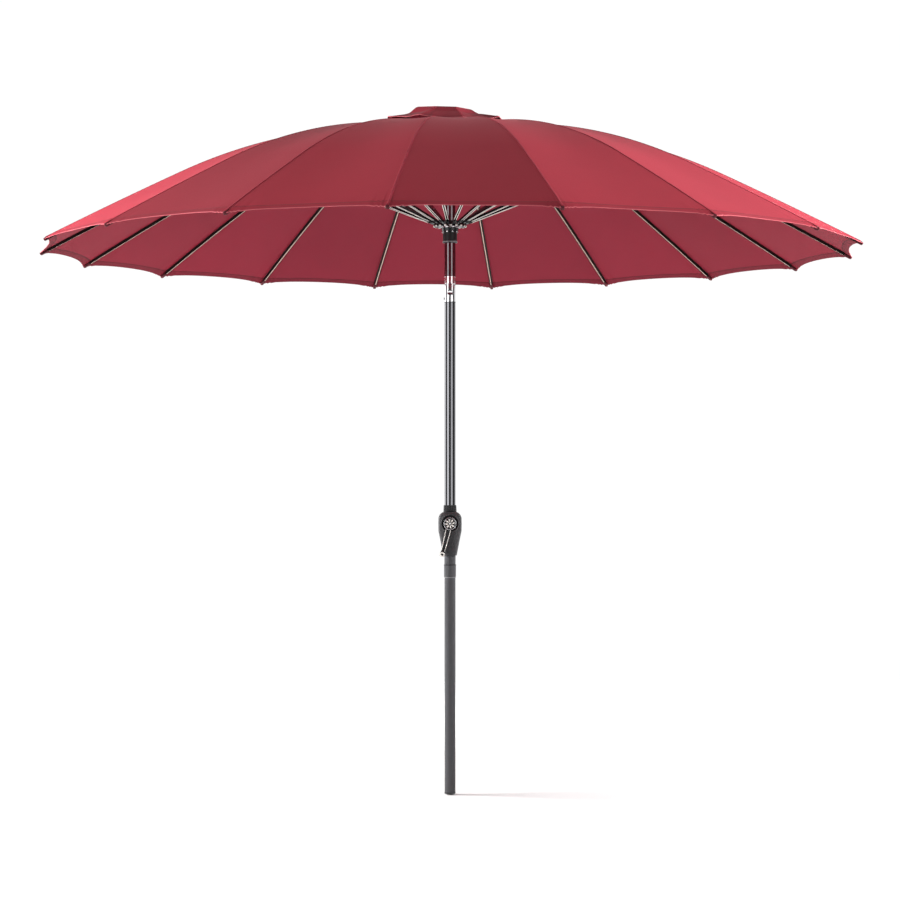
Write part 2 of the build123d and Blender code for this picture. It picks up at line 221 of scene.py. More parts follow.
def capped_tube(name: str, pts: np.ndarray) -> Object:
    """A skin over a grid of points, its columns round the tube, with a fan of faces over each end."""
    n, m = pts.shape[:2]
    j = np.arange(m)
    after, last = (j + 1) % m, (n - 1) * m
    verts = np.concatenate([pts.reshape(-1, 3), pts[:1].mean(1), pts[-1:].mean(1)])
    start = np.stack([np.full(m, n * m), j, after], axis=1)
    end = np.stack([np.full(m, n * m + 1), last + after, last + j], axis=1)
    return outward(new_object(name, verts, [grid_faces(n, m, wrap_cols=True), start, end]))


def swept(name: str, path: np.ndarray, side: np.ndarray, up: np.ndarray, profile: np.ndarray) -> Object:
    """A closed outline carried along a path: point = path + side * profile x + up * profile y.

    Args:
        name: the piece's name.
        path: (n, 3) points.
        side: unit vectors across the path, one for all of it or one for each point.
        up: unit vectors up from it, likewise.
        profile: (m, 2) outline, anticlockwise when looked at against the path.

    Returns:
        The object, capped at both ends.
    """
    side, up = np.broadcast_to(side, path.shape), np.broadcast_to(up, path.shape)
    x, y = profile[None, :, :1], profile[None, :, 1:]
    return capped_tube(name, path[:, None] + side[:, None] * x + up[:, None] * y)


def outward(obj: Object) -> Object:
    """Turns a closed mesh's faces out if its signed volume is negative."""
    mesh = obj.data
    mesh.calc_loop_triangles()
    tri = np.empty(len(mesh.loop_triangles) * 3, np.int32)
    mesh.loop_triangles.foreach_get("vertices", tri)
    co = np.empty(len(mesh.vertices) * 3, np.float32)
    mesh.vertices.foreach_get("co", co)
    a, b, c = (co.reshape(-1, 3)[tri.reshape(-1, 3)[:, k]].astype(float) for k in range(3))
    if (a * np.cross(b, c)).sum() < 0:
        mesh.flip_normals()
    return obj


def turned(
    name: str, outline: np.ndarray, centre: Point = (0, 0, 0), axis: Axis = Axis.UPRIGHT, segments: int = 96
) -> Object:
    """A turned form: outline points (radius, height) go round an axis: (r cos a, r sin a, h).

    Args:
        name: the piece's name.
        outline: loop of (radius, height) in metres; one that touches radius 0 is closed on the axis.
        centre: where the outline's zero lies.
        axis: where its axis points.
        segments: steps round.

    Returns:
        The object.
    """
    a = np.linspace(0, tau, segments, endpoint=False)
    r, h = outline[:, 0], outline[:, 1]
    ring = np.stack(np.broadcast_arrays(r[:, None] * np.cos(a), r[:, None] * np.sin(a), h[:, None]), axis=2)
    pts = ring.reshape(-1, 3) @ np.array(axis.value, float).T + np.array(centre)
    wraps = r.min() > 1e-6
    made = new_object(name, pts, [grid_faces(len(r), segments, wrap_rows=wraps, wrap_cols=True)])
    if not wraps:
        weld(made)
    return outward(made)


@contextmanager
def editing(obj: Object) -> Iterator[bmesh.types.BMesh]:
    """Opens an object's mesh for editing and writes it back."""
    bm = bmesh.new()
    bm.from_mesh(obj.data)
    yield bm
    bm.to_mesh(obj.data)
    bm.free()


def dome(r: float, tall: float, steps: int, foot: float) -> np.ndarray:
    """A dome's outline to turn: (r cos t, tall sin t) from rim to axis, on a flat foot a little lower."""
    t = np.linspace(0, pi / 2, steps)
    outline = np.concatenate([[[0, -foot], [r, -foot]], np.stack([r * np.cos(t), tall * np.sin(t)], axis=1)])
    outline[-1, 0] = 0
    return outline


def weld(obj: Object) -> None:
    """Merges points in one place, which closes poles, and drops faces of no area."""
    with editing(obj) as bm:
        bmesh.ops.remove_doubles(bm, verts=bm.verts, dist=1e-6)
        bmesh.ops.dissolve_degenerate(bm, dist=1e-7, edges=bm.edges)


def rounded_loop(half_w: float, half_h: float, corner: float, steps: int = 5) -> np.ndarray:
    """A rounded rectangle's outline, anticlockwise: four quarter circles joined by straight sides."""
    q = np.linspace(0, pi / 2, steps)
    arc = np.stack([np.cos(q), np.sin(q)], axis=1) * corner
    corners = []
    for k, (sx, sy) in enumerate([(1, 1), (-1, 1), (-1, -1), (1, -1)]):
        turn = k * pi / 2
        spin = np.array([[cos(turn), -sin(turn)], [sin(turn), cos(turn)]])
        corners.append(arc @ spin.T + [sx * (half_w - corner), sy * (half_h - corner)])
    return np.concatenate(corners)


def joined(parts: list[Object]) -> Object:
    """One object from several: the first takes in the others' meshes."""
    with editing(parts[0]) as bm:
        for part in parts[1:]:
            bm.from_mesh(part.data)
    for part in parts[1:]:
        bpy.data.objects.remove(part)
    return parts[0]


def azimuth(angle: float | np.ndarray) -> tuple[np.ndarray, np.ndarray]:
    """Unit vectors outwards and round, at an angle from +X."""
    c, s = np.cos(angle), np.sin(angle)
    zero = np.zeros_like(c)
    return np.stack([c, s, zero], axis=-1), np.stack([-s, c, zero], axis=-1)


def smooth(x: np.ndarray, low: float, high: float) -> np.ndarray:
    """The smooth step 3t^2 - 2t^3 of x between low and high."""
    t = np.clip((x - low) / (high - low), 0, 1)
    return t * t * (3 - 2 * t)


def turn_in(distance: np.ndarray, thick: float, low: float, high: float) -> np.ndarray:
    """Thickness that a turned edge adds: all of it nearer to the edge than low, none farther than high."""
    return thick * (1 - smooth(distance, low, high))


# ---------------------------------------------------------------- shader nodes


class Nodes:
    """Short hands for making nodes in a material or a group."""

    def __init__(self, tree: NodeTree) -> None:
        """Works in one node tree."""
        self.tree = tree

    def add(self, kind: str, **values: object) -> Node:
        """A new node, with attributes by name."""
        node = self.tree.nodes.new(kind)
        for key, value in values.items():
            setattr(node, key, value)
        return node

    def link(self, source: NodeSocket, target: NodeSocket) -> None:
        """Joins two sockets."""
        self.tree.links.new(source, target)

    def put(self, socket: NodeSocket, value: object) -> None:
        """Joins a socket to another one, or sets it to a number or a colour."""
        if isinstance(value, NodeSocket):
            self.link(value, socket)
        else:
            socket.default_value = value

    def feed(self, node: Node, **values: object) -> Node:
        """Puts values on a node's inputs by name, with _ for a space, and returns the node."""
        for key, value in values.items():
            self.put(node.inputs[key.replace("_", " ")], value)
        return node

    def math(self, operation: str, *inputs: object, clamp: bool = False) -> NodeSocket:
        """A Math node on sockets or numbers; returns its output."""
        node = self.add("ShaderNodeMath", operation=operation, use_clamp=clamp)
        for socket, value in zip(node.inputs, inputs):
            self.put(socket, value)
        return node.outputs[0]

    def times(self, a: object, b: object, clamp: bool = False) -> NodeSocket:
        """The product of two values."""
        return self.math("MULTIPLY", a, b, clamp=clamp)

    def plus(self, a: object, b: object, clamp: bool = False) -> NodeSocket:
        """The sum of two values."""
        return self.math("ADD", a, b, clamp=clamp)

    def minus(self, a: object, b: object, clamp: bool = False) -> NodeSocket:
        """The first value less the second."""
        return self.math("SUBTRACT", a, b, clamp=clamp)

    def noise(self, vector: object, scale: object, detail: float = 3.0, rough: float = 0.5) -> NodeSocket:
        """A Noise texture's value."""
        node = self.add("ShaderNodeTexNoise")
        return self.feed(node, Vector=vector, Scale=scale, Detail=detail, Roughness=rough).outputs[0]

    def split(self, vector: NodeSocket) -> NodeOutputs:
        """The three numbers of a vector."""
        return self.feed(self.add("ShaderNodeSeparateXYZ"), Vector=vector).outputs

    def number(self, name: str) -> NodeSocket:
        """The number that a mesh carries under a name."""
        return self.add("ShaderNodeAttribute", attribute_name=name).outputs["Fac"]

    def stretched(self, vector: NodeSocket, scale: Point) -> NodeSocket:
        """A vector scaled along each axis."""
        return self.feed(self.add("ShaderNodeMapping"), Vector=vector, Scale=scale).outputs[0]

    def ramp(
        self, value: object, low: float, high: float, out_low: float = 0.0, out_high: float = 1.0
    ) -> NodeSocket:
        """A smooth step of a value from one range to another."""
        node = self.add("ShaderNodeMapRange", interpolation_type="SMOOTHSTEP")
        self.feed(node, Value=value, From_Min=low, From_Max=high, To_Min=out_low, To_Max=out_high)
        return node.outputs[0]

    def mix(self, factor: NodeSocket, a: object, b: object) -> NodeSocket:
        """A mix of two colours, each a socket or three numbers."""
        node = self.add("ShaderNodeMix", data_type="RGBA")
        self.link(factor, node.inputs[0])
        for socket, value in ((node.inputs[6], a), (node.inputs[7], b)):
            self.put(socket, (*value, 1.0) if isinstance(value, tuple) else value)
        return node.outputs[2]

    def group(self, tree: NodeTree, **values: object) -> Node:
        """A group node, with its inputs by name."""
        return self.feed(self.add("ShaderNodeGroup", node_tree=tree), **values)

    def bump(self, height: NodeSocket, strength: float, distance: float) -> NodeSocket:
        """The normal that a height in shares of a distance gives."""
        node = self.add("ShaderNodeBump")
        return self.feed(node, Height=height, Strength=strength, Distance=distance).outputs[0]


def new_material(name: str) -> tuple[Material, Nodes, Node]:
    """A material, its node maker and its Principled shader."""
    material = bpy.data.materials.new(name)
    material.use_nodes = True
    return material, Nodes(material.node_tree), material.node_tree.nodes["Principled BSDF"]


def group_tree(
    name: str, inputs: dict[str, float | None], outputs: tuple[str, ...]
) -> tuple[Nodes, dict[str, NodeSocket], dict[str, NodeSocket]]:
    """A shader node group with named sockets.

    Args:
        name: the group's name.
        inputs: name to its default number, or to None for a vector.
        outputs: names of numbers.

    Returns:
        The node maker, the input sockets by name and the output sockets by name.
    """
    tree = bpy.data.node_groups.new(name, "ShaderNodeTree")
    for key, default in inputs.items():
        kind = "NodeSocketVector" if default is None else "NodeSocketFloat"
        socket = tree.interface.new_socket(key, in_out="INPUT", socket_type=kind)
        if default is not None:
            socket.default_value = default
    for key in outputs:
        tree.interface.new_socket(key, in_out="OUTPUT", socket_type="NodeSocketFloat")
    n = Nodes(tree)
    first, last = n.add("NodeGroupInput"), n.add("NodeGroupOutput")
    return n, {k: first.outputs[k] for k in inputs}, {k: last.inputs[k] for k in outputs}


class Effects:
    """The shader node groups that several finishes share."""

    def __init__(self) -> None:
        """Builds each group once."""
        self.weave = self.make_weave()
        self.stitch = self.make_stitch()
        self.grain = self.make_grain()
        self.wear = self.make_wear()
        self.dust = self.make_dust()

    @staticmethod
    def make_weave() -> NodeTree:
        """Plain weave: warp and weft are bands, |sin|^0.5, and a chequer of their phases puts one on top."""
        inputs = {"Vector": None, "Threads": 1800.0, "Slub": 0.3}
        n, i, o = group_tree("plain weave", inputs, ("Height", "Tone"))
        place = n.split(i["Vector"])
        bands = [n.math("SINE", n.times(n.times(place[axis], i["Threads"]), pi)) for axis in (0, 1)]
        over = n.ramp(n.times(*bands), -0.25, 0.25)
        warp, weft = (n.math("SQRT", n.math("ABSOLUTE", b)) for b in bands)
        height = n.plus(n.times(warp, over), n.times(weft, n.minus(1.0, over)))
        slub = n.noise(i["Vector"], 90.0, 4.0, 0.7)
        n.link(height, o["Height"])
        n.link(n.plus(n.times(slub, i["Slub"]), n.times(height, 0.15)), o["Tone"])
        return n.tree

    @staticmethod
    def make_stitch() -> NodeTree:
        """A row of stitches: a band at Offset across, cut into dashes by a saw wave of the stitch's pitch."""
        inputs = {"Across": 0.0, "Along": 0.0, "Offset": 0.004, "Width": 0.0007, "Pitch": 0.0035}
        n, i, o = group_tree("stitch row", inputs, ("Mask", "Pucker"))
        away = n.math("ABSOLUTE", n.minus(i["Across"], i["Offset"]))
        near = n.minus(1.0, n.math("DIVIDE", away, i["Width"]), clamp=True)
        wave = n.math("FRACT", n.math("DIVIDE", i["Along"], i["Pitch"]))
        dash = n.ramp(n.math("ABSOLUTE", n.minus(wave, 0.5)), 0.36, 0.44, 1.0, 0.0)
        n.link(n.times(near, dash), o["Mask"])
        wide = n.minus(1.0, n.math("DIVIDE", away, n.times(i["Width"], 5.0)), clamp=True)
        n.link(n.times(wide, n.plus(0.5, n.times(dash, 0.5))), o["Pucker"])
        return n.tree

    @staticmethod
    def make_grain() -> NodeTree:
        """Fine paint or mould grain: two noises, one fine for height and one broad for tone."""
        n, i, o = group_tree("surface grain", {"Vector": None, "Scale": 900.0}, ("Height", "Tone"))
        n.link(n.noise(i["Vector"], i["Scale"], 3.0, 0.6), o["Height"])
        n.link(n.noise(i["Vector"], n.times(i["Scale"], 0.03), 4.0, 0.55), o["Tone"])
        return n.tree

    @staticmethod
    def make_wear() -> NodeTree:
        """Rubbed spots and hairline scratches: sharp islands of noise, and noise drawn out along Z."""
        n, i, o = group_tree("rubbed wear", {"Vector": None, "Amount": 0.3}, ("Mask",))
        spots = n.noise(i["Vector"], 130.0, 5.0, 0.75)
        floor = n.minus(0.76, n.times(i["Amount"], 0.16))
        islands = n.times(n.minus(spots, floor), 14.0, clamp=True)
        lines = n.noise(n.stretched(i["Vector"], (900.0, 900.0, 14.0)), 1.0, 1.0, 0.4)
        hair = n.times(n.minus(lines, 0.78), 8.0, clamp=True)
        n.link(n.math("MAXIMUM", islands, n.times(hair, i["Amount"])), o["Mask"])
        return n.tree

    @staticmethod
    def make_dust() -> NodeTree:
        """Dust where a face looks up: the normal's Z times broad noise."""
        n, i, o = group_tree("settled dust", {"Vector": None, "Amount": 0.15}, ("Mask",))
        up = n.ramp(n.split(n.add("ShaderNodeNewGeometry").outputs["Normal"])[2], 0.2, 0.95)
        cloud = n.ramp(n.noise(i["Vector"], 60.0, 5.0, 0.7), 0.35, 0.75)
        n.link(n.times(n.times(up, cloud), i["Amount"]), o["Mask"])
        return n.tree


@dataclass(frozen=True)
class HardFinish:
    """Paint, moulded plastic or bare metal.

    Colour and under-colour are linear; wear shows the under-colour; grain depth is in metres.
    """

    name: str
    colour: Colour
    roughness: float
    metallic: float = 0.0
    under: Colour = (0.35, 0.35, 0.36)
    coat: float = 0.0
    grain_scale: float = 900.0
    grain_depth: float = 0.00004
    wear: float = 0.15
    dust: float = 0.1
    tone: float = 0.12
    spread: float = 0.1
    specular: float = 0.5
    brushed: Point | None = None

    def build(self, fx: Effects) -> Material:
        """Makes the material: grain to bump and roughness, wear and dust to colour."""
        material, n, shader = new_material(self.name)
        place = n.add("ShaderNodeTexCoord").outputs["Object"]
        grain = n.group(fx.grain, Vector=place, Scale=self.grain_scale)
        height, tone = grain.outputs["Height"], grain.outputs["Tone"]
        wear = n.group(fx.wear, Vector=place, Amount=self.wear).outputs["Mask"]
        dust = n.group(fx.dust, Vector=place, Amount=self.dust).outputs["Mask"]
        dark = tuple(c * (1 - self.tone) for c in self.colour)
        light = tuple(min(1.0, c * (1 + self.tone) + 0.002) for c in self.colour)
        base = n.mix(n.times(wear, 0.6), n.mix(tone, dark, light), self.under)
        rough = n.plus(n.times(tone, self.spread), self.roughness - self.spread / 2)
        if self.brushed:
            lines = n.noise(n.stretched(place, self.brushed), 1.0, 3.0, 0.6)
            height = n.plus(height, lines)
            rough = n.plus(rough, n.times(lines, 0.12))
        n.feed(
            shader,
            Base_Color=n.mix(dust, base, DUST),
            Roughness=n.plus(rough, n.times(n.plus(wear, dust), 0.25), clamp=True),
            Normal=n.bump(height, 0.5, self.grain_depth),
            Metallic=self.metallic,
            Specular_IOR_Level=self.specular,
            Coat_Weight=self.coat,
            Coat_Roughness=0.08,
        )
        return material


@dataclass(frozen=True)
class ClothFinish:
    """Woven polyester with stitched hems and seams; let_through is the share of light it lets through."""

    name: str
    colour: Colour
    thread: Colour
    threads: float = 1600.0
    let_through: float = 0.3
    roughness: float = 0.62
    sheen: float = 0.02
    specular: float = 0.22
    hem_rows: tuple[float, ...] = (0.0045, 0.0245)
    seam_rows: tuple[float, ...] = ()
    # painted shade darkens the doubled hem band, and a painted highlight lightens the hem's fold
    hem_painted_shade: float = 0.22
    hem_painted_highlight: float = 0.8

    def build(self, fx: Effects) -> Material:
        """Makes the material: weave and stitches to bump, slubs and thread to colour, light let through."""
        material, n, shader = new_material(self.name)
        flat = n.add("ShaderNodeUVMap", uv_map=CLOTH_MAP).outputs[0]
        place = n.add("ShaderNodeTexCoord").outputs["Object"]
        weave = n.group(fx.weave, Vector=flat, Threads=self.threads, Slub=0.5)
        height, slubs = weave.outputs["Height"], weave.outputs["Tone"]
        tone = n.plus(n.times(slubs, 0.5), n.times(n.noise(place, 3.2, 4.0, 0.6), 0.5))
        base = n.mix(tone, tuple(c * 0.86 for c in self.colour), tuple(min(1, c * 1.16) for c in self.colour))
        if self.hem_rows:
            base = self.hem(n, base)
        along_hem, along_seam = n.split(flat)[1], n.split(flat)[0]
        rows = [("hem_distance", along_hem, offset) for offset in self.hem_rows]
        rows += [("seam_distance", along_seam, offset) for offset in self.seam_rows]
        for source, along, offset in rows:
            row = n.group(fx.stitch, Across=n.number(source), Along=along, Offset=offset)
            base = n.mix(n.times(row.outputs["Mask"], 0.8), base, self.thread)
            height = n.minus(height, n.times(row.outputs["Pucker"], 3.0))
        normal = n.bump(height, 0.35, 0.00012)
        n.feed(
            shader,
            Base_Color=base,
            Roughness=n.plus(n.times(slubs, 0.12), self.roughness - 0.04),
            Normal=normal,
            Specular_IOR_Level=self.specular,
            Sheen_Weight=self.sheen,
            Sheen_Roughness=0.4,
        )
        through = n.feed(n.add("ShaderNodeBsdfTranslucent"), Color=base, Normal=normal)
        both = n.add("ShaderNodeMixShader")
        for socket, value in zip(both.inputs, (self.let_through, shader.outputs[0], through.outputs[0])):
            n.put(socket, value)
        n.link(both.outputs[0], material.node_tree.nodes["Material Output"].inputs["Surface"])
        return material

    def hem(self, n: Nodes, base: NodeSocket) -> NodeSocket:
        """The gore's painted light and shade, the doubled hem darkened as painted shade, a painted shadow at
        its inner edge and a painted highlight on the fold.
        """
        # painted light: the colour is scaled by the gore's painted light level
        relit = n.add("ShaderNodeVectorMath", operation="SCALE")
        n.link(base, relit.inputs[0])
        n.feed(relit, Scale=n.number("cloth_shade"))
        to_hem = n.number("hem_distance")
        edge = self.hem_rows[-1]
        # painted shade: the doubled hem band, and a painted shadow line at its inner edge, are darkened
        doubled = n.ramp(to_hem, edge + 0.003, edge + 0.0045, 1.0, 0.0)
        shadow = n.times(doubled, n.ramp(to_hem, edge - 0.003, edge + 0.001))
        dark = n.plus(n.times(doubled, self.hem_painted_shade), n.times(shadow, 0.5))
        base = n.mix(dark, relit.outputs[0], tuple(c * 0.45 for c in self.colour))
        # painted highlight along the hem's fold
        fold = n.ramp(to_hem, 0.0022, 0.0050, self.hem_painted_highlight, 0.0)
        return n.mix(fold, base, tuple(min(1.0, c * 1.2 + 0.08) for c in self.thread))


class Stuff(Enum):
    """The finishes of this parasol."""

    COVER = ClothFinish("burgundy cover", (0.50, 0.042, 0.068), (0.62, 0.10, 0.13), sheen=0.035)
    LINING = ClothFinish(
        "burgundy inner face", (0.275, 0.019, 0.040), (0.16, 0.009, 0.019),
        hem_painted_shade=0.5, hem_painted_highlight=0.0, sheen=0.0, specular=0.15,
    )
    TAPE = ClothFinish(
        "burgundy seam tape", (0.34, 0.026, 0.044), (0.50, 0.07, 0.10),
        hem_rows=(), seam_rows=(0.0012,), let_through=0.1,
    )
    POCKET = ClothFinish(
        "tip pocket webbing", (0.09, 0.013, 0.019), (0.3, 0.1, 0.12),
        threads=900.0, let_through=0.02, hem_rows=(),
    )
    POLE_MATT = HardFinish(
        "anthracite powder coat", (0.060, 0.060, 0.064), 0.5,
        grain_scale=1600.0, wear=0.1, specular=0.2,
    )
    POLE_GLOSS = HardFinish(
        "black nickel gloss", (0.17, 0.17, 0.18), 0.10, metallic=1.0,
        grain_scale=60.0, grain_depth=0.0, wear=0.04, dust=0.04, tone=0.03, spread=0.01,
    )
    HOUSING = HardFinish(
        "satin housing plastic", (0.030, 0.029, 0.031), 0.36, under=(0.08, 0.08, 0.08),
        grain_scale=1300.0, grain_depth=0.00003, specular=0.35,
    )
    TRIM = HardFinish(
        "black trim plastic", (0.012, 0.012, 0.013), 0.42, under=(0.06, 0.06, 0.06),
        grain_scale=1500.0, specular=0.25,
    )
    GREY = HardFinish(
        "grey moulded trim", (0.20, 0.20, 0.21), 0.45, under=(0.3, 0.3, 0.3),
        grain_scale=1500.0, specular=0.3,
    )
    CRANK = HardFinish(
        "black crank enamel", (0.02, 0.02, 0.022), 0.3, under=(0.45, 0.45, 0.46),
        coat=0.3, wear=0.5,
    )
    CHROME = HardFinish(
        "polished chrome", (0.78, 0.78, 0.8), 0.12, metallic=1.0, under=(0.4, 0.4, 0.4),
        wear=0.1, grain_depth=0.00001, tone=0.05,
    )
    CAST = HardFinish(
        "bright plated joint", (0.78, 0.78, 0.80), 0.10, metallic=1.0, under=(0.25, 0.25, 0.25),
        wear=0.2, grain_depth=0.00001, tone=0.06,
    )
    HUB = HardFinish(
        "black hub plastic", (0.006, 0.006, 0.007), 0.22, under=(0.1, 0.1, 0.1),
        coat=0.15, wear=0.08, specular=0.35,
    )
    # painted highlights on the strut and crank arm edges and the runner's flange, and bright trim on the
    # dial's petals and the knob's face
    LIP = HardFinish(
        "bare bright lip", (0.80, 0.77, 0.72), 0.34, metallic=0.35, under=(0.4, 0.38, 0.35),
        wear=0.35, tone=0.2,
    )
    # a pale painted highlight, laid in each rib's channel
    CORE = HardFinish(
        "pale fibreglass core", (0.64, 0.46, 0.38), 0.42, under=(0.8, 0.7, 0.6),
        wear=0.3, tone=0.25, brushed=(20.0, 20.0, 20.0),
    )
    RIB = HardFinish(
        "dark rib enamel", (0.014, 0.009, 0.009), 0.42, under=(0.3, 0.25, 0.2),
        specular=0.12, wear=0.2,
    )
    STRUT = HardFinish("black strut enamel", (0.008, 0.008, 0.009), 0.25, coat=0.2, wear=0.15)
    CUT = HardFinish("dark end plug", (0.01, 0.01, 0.01), 0.6, wear=0.05)


class Wardrobe:
    """Builds each finish once, and puts it on pieces."""

    def __init__(self) -> None:
        """Makes the shared effects."""
        self.fx = Effects()
        self.made: dict[Stuff, Material] = {}

    def line(self, obj: Object, stuff: Stuff) -> None:
        """Gives a sheet's inner faces, the second half of its faces before its rim, a finish of their own."""
        obj.data.materials.append(self.material(stuff))
        count = int(obj["face_count"])
        index = np.zeros(len(obj.data.polygons), np.int32)
        index[count : 2 * count] = 1
        obj.data.polygons.foreach_set("material_index", index)

    def material(self, stuff: Stuff) -> Material:
        """The finish's material."""
        if stuff not in self.made:
            self.made[stuff] = stuff.value.build(self.fx)
        return self.made[stuff]

    def dress(self, obj: Object, stuff: Stuff) -> Object:
        """Puts a finish in every material slot of an object."""
        material = self.material(stuff)
        if not obj.data.materials:
            obj.data.materials.append(material)
        for slot in range(len(obj.data.materials)):
            obj.data.materials[slot] = material
        return obj


# ---------------------------------------------------------------- the parasol


@dataclass
class RibLine:
    """The ribs' common curve and places: three arcs that run into each other."""

    count: int = 18
    first: float = radians(2.9)
    start: tuple[float, float] = (0.052, 2.292)  # radius and height of the first arc's inner end
    bends: tuple[tuple[float, float], ...] = (  # radius, and the slope there in degrees
        (0.052, 2.0), (0.350, 7.0), (0.950, 26.6), (1.400, 28.5),
    )

    def angle(self, i: float) -> float:
        """The azimuth of rib i, counted from 0."""
        return self.first + i * tau / self.count

    def height(self, r: np.ndarray) -> np.ndarray:
        """Height of the rib's middle at radius r: each arc drops by its radius times its cosine's change."""
        r = np.asarray(r, float)
        z = np.full_like(r, self.start[1])
        for (r0, a0), (r1, a1) in zip(self.bends, self.bends[1:]):
            s0, s1 = sin(radians(a0)), sin(radians(a1))
            bend = (r1 - r0) / (s1 - s0)
            s = s0 + (np.clip(r, r0, r1) - r0) / bend
            z -= bend * (np.sqrt(1 - s0 * s0) - np.sqrt(1 - s * s))
        return z

    def slope(self, r: np.ndarray) -> np.ndarray:
        """Downward slope of the rib at radius r, as an angle."""
        bends = np.array(self.bends)
        return np.arcsin(np.interp(r, bends[:, 0], np.sin(np.radians(bends[:, 1]))))

    def run(self, i: int, r: np.ndarray) -> tuple[np.ndarray, np.ndarray, np.ndarray]:
        """Rib i's middle at radii r, the unit vector across it, and the unit vectors up from it."""
        out, across = azimuth(self.angle(i))
        slope = self.slope(r)
        up = out * np.sin(slope)[:, None] + UP * np.cos(slope)[:, None]
        return out * r[:, None] + UP * self.height(r)[:, None], across, up


